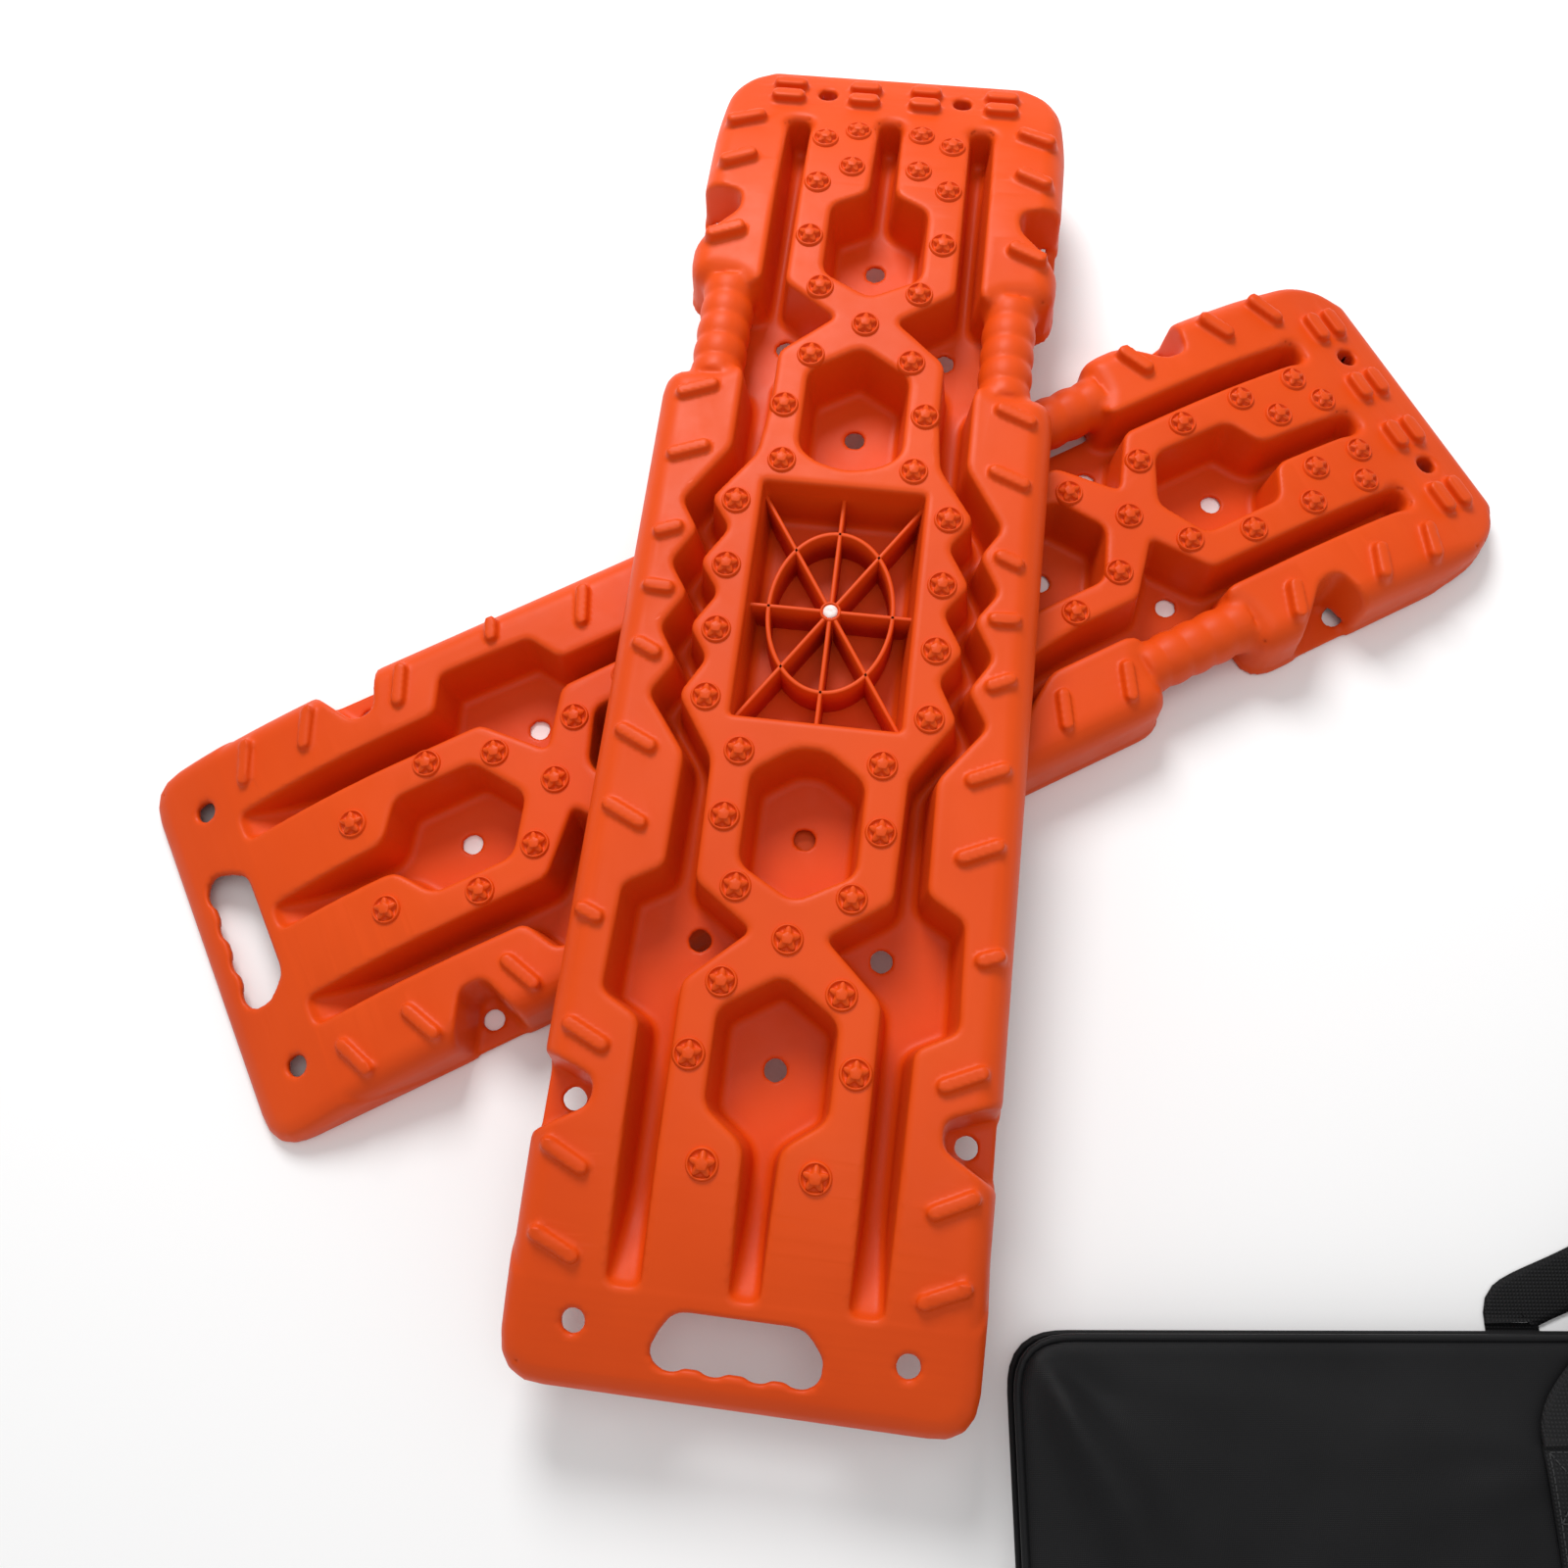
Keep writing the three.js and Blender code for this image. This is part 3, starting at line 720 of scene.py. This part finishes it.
def orange_plastic():
    """Satin moulded plastic: flow streaks in the colour, a fine mould grain and uneven gloss."""
    material, tree, shader = new_material("orange_plastic")
    cloudy = ramp(tree, noise(tree, 9.0, 4.0), 0.0, 1.0)
    mix_colour(tree, shader, cloudy, (0.67, 0.061, 0.003), (0.73, 0.072, 0.004))
    gloss = ramp(tree, noise(tree, 45.0, 5.0), 0.40, 0.50)
    tree.links.new(gloss, shader.inputs["Roughness"])
    shader.inputs["Specular IOR Level"].default_value = 0.19
    soft = bump(tree, shader, noise(tree, 60.0, 2.0), 0.05, 0.002)
    bump(tree, shader, noise(tree, 1500.0, 2.0), 0.08, 0.0003, soft)
    return material


def pale_plastic():
    material, tree, shader = new_material("gate_mark")
    tone = ramp(tree, noise(tree, 400.0), 0, 1)
    mix_colour(tree, shader, tone, (0.75, 0.55, 0.5), (0.9, 0.82, 0.8))
    shader.inputs["Roughness"].default_value = 0.5
    return material


# ---------------------------------------------------------------- putting the mats in place
def dress_mats():
    """Both mats share their meshes; each moulding stands in for its mat's CAD node."""
    plastic, pale = orange_plastic(), pale_plastic()
    parts = (
        ("moulding", mat_mesh(), plastic),
        ("studs", studs_mesh(), plastic),
        ("web", web_mesh(), plastic),
        ("gate_mark", gate_mark_mesh(), pale),
    )
    for _, mesh, material in parts:
        mesh.materials.append(material)
    for body, place in (("upper_mat", Matrix.Translation(HUB)), ("lower_mat", lower_mat_place())):
        for part, mesh, _ in parts:
            nodes = [body] if part == "moulding" else []
            add_piece(f"{body}_{part}", mesh, place, body, "mat_orange", *nodes)


dress_mats()


# ---------------------------------------------------------------- the bag, in its own frame
# x along the bag, y towards its handles, z up; in millimetres.
BAG_LENGTH = 1100
BAG_WIDTH = 345
BAG_TURN = 7.15
BAG_EDGE = 44  # height of the front panel's edge
BAG_CROWN = 54  # and of its middle
BAG_FLOOR = 2.5  # the webbing under the bag holds it this high
BAG_CORNER = 23
SHELL_INSET = 3.2  # the cloth runs into the piping
GUSSET_SINK = 3.6  # and sinks in between the two cords
PIPING_RADIUS = 2.5
FRONT_PIPING_Z = BAG_EDGE - 3.5
BACK_PIPING_Z = 5
BAND_X = 203
BAND_WIDTH = 36
BAND_THICK = 2.0
BAND_PROBES = (-14, 0, 14)  # the band lies on the highest cloth found at these places across it
HANDLE_ROOT = 108.5
HANDLE_TOP = 254
HANDLE_TILT = math.tan(math.radians(11))
FRONT_HANDLE_Z = BAG_CROWN + 4.5
BACK_HANDLE_Z = 1.2
BACK_ROOT = 177.5
HINGE_GAP = 1.4  # the back handle turns upright beside the band's end without touching it
ZIP_Z = 22.75
ZIP_LENGTH = 1040
ZIP_TAPE_WIDTH = 26
COIL_PITCH = 2.6
SLIDER_X = ZIP_LENGTH / 2 - 12
ZIP_FACE = BAG_WIDTH / 2 - 5 + 2.3  # the slider's back, along y
STITCH_PITCH = 4.2
STITCH_GAP = 0.12  # share of the pitch that is left free at each end of a stitch
BAG_STEP = 3.6  # spacing of the grid that the cloth is drawn on
CORNER_FOLDS = (6, 230, 4.2)  # how many, how long and how deep
BAND_FOLDS = (3, 150, 2.6)
EDGE_FOLDS = (3, 120, 2.0)
FOLD_FAN = 0.55  # how far the folds of one place spread, in radians
FOLD_WIDTHS = (7, 13)
SLACK_WAVES = 14
SLACK_LENGTHS = (90, 320)


def bag_place():
    low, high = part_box("bag_shell")
    middle = (low + high) / 2
    turn = Matrix.Rotation(math.radians(BAG_TURN), 4, "Z")
    return Matrix.Translation((middle.x, middle.y, 0)) @ turn


def bag_outline(inset):
    """The bag's rounded rectangle, made smaller on every side."""
    x, y = BAG_LENGTH / 2 - inset, BAG_WIDTH / 2 - inset
    return rounded(symmetric([(x, -y), (x, y)]), BAG_CORNER * 1.6, steps=8)


def creases(x, y, centre, aim, kind, seed):
    """Soft folds that fan out from one place and die away."""
    count, reach, depth = kind
    random = np.random.default_rng(seed)
    dx, dy = x - centre[0], y - centre[1]
    distance = np.hypot(dx, dy) + 1
    angle = np.arctan2(dy, dx)
    folds = np.zeros(np.broadcast(x, y).shape)
    for _ in range(count):
        heading = aim + random.uniform(-FOLD_FAN, FOLD_FAN)
        turn = np.angle(np.exp(1j * (angle - heading)))
        width = random.uniform(*FOLD_WIDTHS) * (1 + distance / 140)
        off = turn * distance
        length = reach * random.uniform(0.6, 1.1)
        fade = smooth_step(distance, 5, 60) * np.exp(-((distance / length) ** 2))
        fold = np.exp(-((off / width) ** 2)) - 0.8 * np.exp(-(((off - 1.4 * width) / width) ** 2))
        folds = folds + depth * random.uniform(0.5, 1.0) * fade * fold * (np.abs(turn) < 1.4)
    return folds


def fold_places():
    """Where folds start: place, heading, kind and seed, for the corners and then for the bands."""
    half_length, half_width = BAG_LENGTH / 2, BAG_WIDTH / 2
    corners = [(x, y) for x in (-half_length, half_length) for y in (-half_width, half_width)]
    for seed, (x, y) in enumerate(corners, 1):
        yield (x, y), math.atan2(-y * 1.6, -x * 0.5), CORNER_FOLDS, seed
    bands = [(x, aim) for x in (-BAND_X, BAND_X) for aim in (0.2, math.pi - 0.2, -0.9, math.pi + 0.9)]
    for seed, (x, aim) in enumerate(bands, 5):
        yield (x, HANDLE_ROOT), aim, BAND_FOLDS, seed
        yield (x, -half_width), -aim, EDGE_FOLDS, seed + 20


def slack(x, y):
    """The long shallow waves of a panel that nothing fills."""
    random = np.random.default_rng(11)
    waves = np.zeros(np.broadcast(x, y).shape)
    for _ in range(SLACK_WAVES):
        wave = random.uniform(*SLACK_LENGTHS)
        heading = random.normal(0, 0.5)
        phase = random.uniform(0, 2 * math.pi)
        along = x * math.cos(heading) + y * math.sin(heading) * 1.6
        waves = waves + np.sin(2 * math.pi * along / wave + phase) * wave / SLACK_LENGTHS[1]
    return waves


def panel_height(x, y):
    """The height of the front panel, with its crown, its folds and its slack."""
    x, y = np.asarray(x, float), np.asarray(y, float)
    inward = np.minimum(BAG_LENGTH / 2 - np.abs(x), BAG_WIDTH / 2 - np.abs(y))
    crown = BAG_EDGE + (BAG_CROWN - BAG_EDGE) * smooth_step(inward, 0, 80)
    folds = sum(creases(x, y, *fold) for fold in fold_places())
    waves = slack(x, y) * 0.7 * smooth_step(inward, 5, 70)
    return crown + (folds + waves) * smooth_step(inward, 4, 40)


def height_under_band(x, y):
    """The highest cloth across a band, at places along it."""
    return np.max([panel_height(x + dx, y) for dx in BAND_PROBES], 0)


def bag_shell_mesh():
    """The cloth: a crowned front panel on a gusset that sinks in between the cords."""
    step = BAG_STEP
    x, y = BAG_LENGTH / 2, BAG_WIDTH / 2
    axes = grid_axes(((-x, x), (-y, y), (0, BAG_CROWN + 6)), step, 2.5)
    x, y = np.meshgrid(axes[0], axes[1], indexing="ij")
    plan = outline_distance(bag_outline(SHELL_INSET), x, y)[:, :, None]
    top = panel_height(x, y)[:, :, None]
    z = axes[2][None, None, :]
    sink = smooth_step(np.minimum(z - 6.5, BAG_EDGE - 6 - z), 0, 5)
    ripple = np.sin(x / 37 + y / 29)[:, :, None]
    field = round_intersection(plan + sink * (GUSSET_SINK + 0.8 * ripple), z - top, 7)
    field = round_intersection(field, BAG_FLOOR - z, 4)
    return mesh_from("bag_shell", *surface_net(field, axes))


def piping_mesh(height):
    """A covered cord sewn into the seam round one panel."""
    path = resampled(bag_outline(PIPING_RADIUS + 0.1), 8)
    angles = np.arange(12) * 2 * math.pi / 12
    cord = [(PIPING_RADIUS * math.cos(a), height + PIPING_RADIUS * math.sin(a)) for a in angles]
    return mesh_from("bag_piping", *sweep(path, cord, closed=True))


def resampled(points, spacing):
    """A closed path with a point about every so many millimetres."""
    points = np.array(points + points[:1], float)
    lengths = np.concatenate([[0], np.cumsum(np.linalg.norm(np.diff(points, axis=0), axis=1))])
    places = np.linspace(0, lengths[-1], int(lengths[-1] / spacing), endpoint=False)
    return np.stack([np.interp(places, lengths, points[:, k]) for k in (0, 1)], 1)


def ribbon(path, sides, width, thickness):
    """A strap along a 3-D path: sides are unit vectors across it, one or one for each point."""
    path = np.array(path, float)
    sides = np.broadcast_to(np.array(sides, float), path.shape)
    along = np.gradient(path, axis=0)
    along /= np.linalg.norm(along, axis=1)[:, None]
    normal = np.cross(sides, along)
    normal /= np.linalg.norm(normal, axis=1)[:, None]
    section = []
    for u in np.linspace(-1, 1, 9):
        section.append((u * width / 2, thickness / 2 * (1 - 0.5 * abs(u) ** 8)))
    section += [(u, -n) for u, n in reversed(section)]
    size, count = len(section), len(path)
    u = np.array([s[0] for s in section])[None, :, None]
    n = np.array([s[1] for s in section])[None, :, None]
    vertices = (path[:, None] + sides[:, None] * u + normal[:, None] * n).reshape(-1, 3)
    caps = []
    for base, turn in ((0, 1), ((count - 1) * size, -1)):
        for k in range(size // 2 - 1):
            cap = [base + k, base + k + 1, base + size - 2 - k, base + size - 1 - k]
            caps.append(cap[::turn])
    return vertices, np.concatenate([ring_quads(count, size), caps])


def curve_through(points, spacing):
    """A smooth path, with a point about every so many millimetres, through a few guide points."""
    points = np.array(points, float)
    padded = np.vstack([2 * points[0] - points[1], points, 2 * points[-1] - points[-2]])
    path = []
    for p0, p1, p2, p3 in zip(padded, padded[1:], padded[2:], padded[3:]):
        steps = max(2, int(np.linalg.norm(p2 - p1) / spacing))
        square, cube = 2 * p0 - 5 * p1 + 4 * p2 - p3, 3 * p1 - p0 - 3 * p2 + p3
        for t in np.arange(steps) / steps:
            path.append(0.5 * (2 * p1 + (p2 - p0) * t + square * t**2 + cube * t**3))
    path.append(points[-1])
    return np.array(path)


def band_mesh(x):
    """Webbing from the handle's root over the front panel, round the bottom and under the bag.

    A thin lip at its end fills the gap that the back handle turns in.
    """
    lift = BAND_THICK / 2 + 0.4
    edge = -BAG_WIDTH / 2
    ys = np.linspace(HANDLE_ROOT, edge + 14, 60)
    top = [(x, y, z + lift) for y, z in zip(ys, height_under_band(x, ys))]
    turn = [
        (x, edge + 5, BAG_EDGE + 0.5), (x, edge - 0.6, BAG_EDGE - 3), (x, edge - 1.5, BAG_EDGE - 9),
        (x, edge - 1.5, 22), (x, edge - 1.5, 8), (x, edge + 0.5, 2.4), (x, edge + 7, 1.1),
    ]
    below = [(x, edge + 20, 1.0), (x, 0, 1.0), (x, BACK_ROOT - HINGE_GAP, 1.0)]
    path = np.vstack([top, curve_through(turn + below, 5)])
    lip = [(x, BACK_ROOT - 12, 0.5), (x, BACK_ROOT - 0.2, 0.5)]
    across = (1, 0, 0)
    parts = [ribbon(path, across, BAND_WIDTH, BAND_THICK), ribbon(lip, across, BAND_WIDTH, 0.8)]
    return mesh_from("band", *merged(parts))


def handle_path(root, height, tilt):
    """The middle line of a handle: two straight slanting sides that meet in a short rounded top."""
    rise = HANDLE_TOP - root
    guide = [
        (-BAND_X, root), (-BAND_X + 1, root + 8), (-BAND_X + 12, root + 0.12 * rise + 6),
        (-150, root + 0.42 * rise), (-104, root + 0.72 * rise), (-62, root + 0.93 * rise),
        (-30, root + rise), (0, root + rise),
    ]
    flat = curve_through([(x, y, 0) for x, y in guide + mirrored(guide[:-1])], 4)
    flat[:, 2] = height - tilt * (flat[:, 1] - root)
    return flat


def handle_mesh(root, height, tilt):
    path = handle_path(root, height, tilt)
    along = np.gradient(path, axis=0)
    along /= np.linalg.norm(along, axis=1)[:, None]
    up = np.array((0, math.sin(math.atan(tilt)), math.cos(math.atan(tilt))))
    sides = np.cross(along, up)
    sides /= np.linalg.norm(sides, axis=1)[:, None]
    return mesh_from("handle", *ribbon(path, sides, BAND_WIDTH, BAND_THICK))


def stitch_line(start, end, band):
    """A row of raised stitches between two places on the band at x = band."""
    (x0, y0), (x1, y1) = start, end
    dx, dy = x1 - x0, y1 - y0
    length = math.hypot(dx, dy)
    count = max(1, int(length / STITCH_PITCH))
    share = np.linspace(STITCH_GAP, 1 - STITCH_GAP, 5)[None, :]
    t = (np.arange(count)[:, None] + share) / count
    bulge = 0.5 * np.sin(math.pi * np.linspace(0, 1, 5))
    z = height_under_band(band, y0 + dy * t) + BAND_THICK + 0.35 + bulge
    paths = np.stack([x0 + dx * t, y0 + dy * t, z], 2)
    return [ribbon(path, (-dy / length, dx / length, 0), 0.9, 0.7) for path in paths]


def band_stitches_mesh(x):
    """A sewn box with a cross at the handle's root, and a row down each edge of the band."""
    low, high, half = HANDLE_ROOT - 44, HANDLE_ROOT - 4, BAND_WIDTH / 2 - 3
    corners = [(x - half, low), (x + half, low), (x + half, high), (x - half, high)]
    lines = list(zip(corners, corners[1:] + corners[:1]))
    lines += [(corners[0], corners[2]), (corners[1], corners[3])]
    lines += [((x + side, -BAG_WIDTH / 2 + 18), (x + side, low)) for side in (-half, half)]
    parts = [part for start, end in lines for part in stitch_line(start, end, x)]
    return mesh_from("band_stitches", *merged(parts))


def flat_plate(outline, low, high, bevel):
    """A plate on an outline, with its top edge bevelled; it stands up along z."""
    points = np.array(outline, float)
    middle, count = points.mean(0), len(points)
    rings = [(1.0, low), (1.0, high - bevel), (1 - bevel / np.ptp(points[:, 1]), high), (0.001, high)]
    vertices = [
        np.column_stack([middle + (points - middle) * scale, np.full(count, z)]) for scale, z in rings
    ]
    return np.concatenate(vertices), ring_quads(len(rings), count)


def zip_tape_mesh():
    """The tape, with the turns of the coil across its middle."""
    y, half = BAG_WIDTH / 2 - 4.2, ZIP_LENGTH / 2
    path = [(x, y, ZIP_Z) for x in np.linspace(-half, half, 80)]
    parts = [ribbon(path, (0, 0, 1), ZIP_TAPE_WIDTH, 1.0)]
    profile = ((0.3, -3.2), (0.7, -2.4), (0.7, 2.4), (0.3, 3.2))
    for x in np.arange(-half + 4, half - 4, COIL_PITCH):
        turn = [(x, y + out, ZIP_Z + up) for out, up in profile]
        parts.append(ribbon(turn, (1, 0, 0), 1.5, 1.0))
    return mesh_from("zip_tape", *merged(parts))


def on_zip(name, *plates):
    """A mesh of plates drawn in x and y, turned to face away from the zip and put on it."""
    vertices, quads = merged(plates)
    x, y, z = vertices.T
    return mesh_from(name, np.column_stack([x + SLIDER_X, z + ZIP_FACE, ZIP_Z - y]), quads)


def slider_mesh():
    """The slider's body, and the bridge that holds the puller."""
    body = rounded([(-6, -4), (6, -6), (6, 6), (-6, 4)], 2.5)
    bridge = rounded([(-4, -1.6), (4, -1.6), (4, 1.6), (-4, 1.6)], 1.2)
    return on_zip("zip_slider", flat_plate(body, 0, 3.6, 0.9), flat_plate(bridge, 3.2, 6.0, 0.8))


def puller_mesh():
    outline = rounded([(2, -2.2), (34, -3.6), (34, 3.6), (2, 2.2)], 2.6)
    return on_zip("zip_puller", flat_plate(outline, 6.3, 8.3, 0.6))


# ---------------------------------------------------------------- the bag's materials
METRE_WAVE = 0.314  # the wave texture's scale for one band in a metre


def product(tree, first, second):
    made = add_node(tree, "ShaderNodeMath", operation="MULTIPLY")
    tree.links.new(first, made.inputs[0])
    tree.links.new(second, made.inputs[1])
    return made.outputs[0]


def woven(name, dark, light, pitch, strength, roughness, directions=("X", "Y")):
    """Cloth of crossing threads a given pitch apart, in metres, with a soft sheen."""
    material, tree, shader = new_material(name)
    scale = METRE_WAVE / pitch
    warp, weft = (
        texture(tree, "ShaderNodeTexWave", bands_direction=direction, Scale=scale)
        for direction in directions
    )
    threads = product(tree, warp, weft)
    patches = ramp(tree, noise(tree, 14.0, 4.0), 0.0, 1.0)
    tone = product(tree, ramp(tree, threads, 0.25, 1.0, 0.0, 1.0), patches)
    mix_colour(tree, shader, tone, dark, light)
    tree.links.new(ramp(tree, threads, roughness + 0.12, roughness, 0, 1), shader.inputs["Roughness"])
    shader.inputs["Specular IOR Level"].default_value = 0.17
    shader.inputs["Sheen Weight"].default_value = 0.02
    shader.inputs["Sheen Roughness"].default_value = 0.5
    bump(tree, shader, threads, strength, pitch * 0.4)
    return material


def black_metal():
    """Enamelled metal, worn a little paler in places."""
    material, tree, shader = new_material("black_enamel")
    worn = ramp(tree, noise(tree, 900.0, 4.0), 0.0, 1.0, 0.55, 0.75)
    mix_colour(tree, shader, worn, (0.012, 0.012, 0.013), (0.05, 0.05, 0.052))
    tree.links.new(ramp(tree, worn, 0.28, 0.45, 0, 1), shader.inputs["Roughness"])
    shader.inputs["Metallic"].default_value = 0.6
    return material


def thread():
    material, tree, shader = new_material("black_thread")
    tone = ramp(tree, noise(tree, 2000.0), 0, 1)
    mix_colour(tree, shader, tone, (0.01, 0.01, 0.0105), (0.028, 0.028, 0.029))
    shader.inputs["Roughness"].default_value = 0.6
    return material


# ---------------------------------------------------------------- putting the bag in place
def add_bag_pieces(material, slot, *pieces):
    """Pieces of one material: name, mesh, body, and the CAD node that each stands in for, if any."""
    place = bag_place()
    for name, mesh, body, *nodes in pieces:
        mesh.materials.append(material)
        add_piece(name, mesh, place, body, slot, *nodes)


def dress_bag():
    cloth = woven("bag_cloth", (0.0045, 0.0045, 0.005), (0.011, 0.011, 0.012), 0.0011, 0.35, 0.42)
    strap = woven("strap_webbing", (0.006, 0.006, 0.0065), (0.018, 0.018, 0.019), 0.0024, 0.6, 0.5)
    tape_colours = (0.006, 0.006, 0.0065), (0.016, 0.016, 0.017)
    tape = woven("zip_tape_cloth", *tape_colours, 0.0012, 0.4, 0.6, ("X", "Z"))
    metal, sewing = black_metal(), thread()
    add_bag_pieces(
        cloth, "bag_fabric",
        ("bag_body", bag_shell_mesh(), "carry_bag", "bag_shell"),
        ("piping_front", piping_mesh(FRONT_PIPING_Z), "carry_bag", "bag_piping_front"),
        ("piping_back", piping_mesh(BACK_PIPING_Z), "carry_bag", "bag_piping_back"),
    )
    for side, x in (("left", -BAND_X), ("right", BAND_X)):
        band, stitches = band_mesh(x), band_stitches_mesh(x)
        add_bag_pieces(strap, "webbing", (f"band_{side}", band, "carry_bag", f"webbing_band_{side}"))
        add_bag_pieces(sewing, "webbing", (f"band_stitches_{side}", stitches, "carry_bag"))
    front = handle_mesh(HANDLE_ROOT, FRONT_HANDLE_Z, HANDLE_TILT)
    back = handle_mesh(BACK_ROOT, BACK_HANDLE_Z, 0)
    add_bag_pieces(
        strap, "webbing",
        ("handle_loop_front", front, "front_handle", "handle_front"),
        ("handle_loop_back", back, "back_handle", "handle_back"),
    )
    add_bag_pieces(tape, "zip_tape", ("zip_tape", zip_tape_mesh(), "carry_bag", "zipper_tape"))
    add_bag_pieces(
        metal, "zip_metal",
        ("zip_slider", slider_mesh(), "zip_slider", "zipper_slider"),
        ("zip_puller", puller_mesh(), "zip_puller", "zipper_puller"),
    )


dress_bag()


# ---------------------------------------------------------------- floor and light, in metres
FLOOR_SIZE = 12.0
FLOOR_DROP = 0.0005  # keeps the floor clear of what stands on it
LAMPS = (
    # name, place from the hub and the ground, diameter, power in watts
    ("key", (-0.6, 1.6, 1.9), 1.1, 49),
    ("top", (0.3, -0.3, 3.0), 2.0, 14),
)
AMBIENT = 0.5


def add_floor():
    bpy.ops.mesh.primitive_plane_add(size=FLOOR_SIZE, location=(0, 0, -FLOOR_DROP))
    floor = bpy.context.object
    floor.name = "studio_floor"
    material, _, shader = new_material("studio_floor")
    shader.inputs["Base Color"].default_value = (0.97, 0.97, 0.97, 1)
    shader.inputs["Roughness"].default_value = 0.9
    floor.data.materials.append(material)


def add_lamp(name, offset, size, power):
    """A round soft lamp that points at the ground below the hub."""
    target = Vector((HUB.x, HUB.y, 0))
    data = bpy.data.lights.new(name, "AREA")
    data.shape = "DISK"
    data.size = size
    data.energy = power
    lamp = bpy.data.objects.new(name, data)
    bpy.context.scene.collection.objects.link(lamp)
    lamp.location = target + Vector(offset)
    lamp.rotation_euler = (-Vector(offset)).to_track_quat("-Z", "Y").to_euler()


def add_studio():
    world = bpy.data.worlds.new("studio")
    bpy.context.scene.world = world
    world.use_nodes = True
    background = world.node_tree.nodes["Background"]
    background.inputs["Color"].default_value = (1, 1, 1, 1)
    background.inputs["Strength"].default_value = AMBIENT
    for lamp in LAMPS:
        add_lamp(*lamp)
    bpy.context.scene.view_settings.view_transform = "Standard"


add_floor()
add_studio()
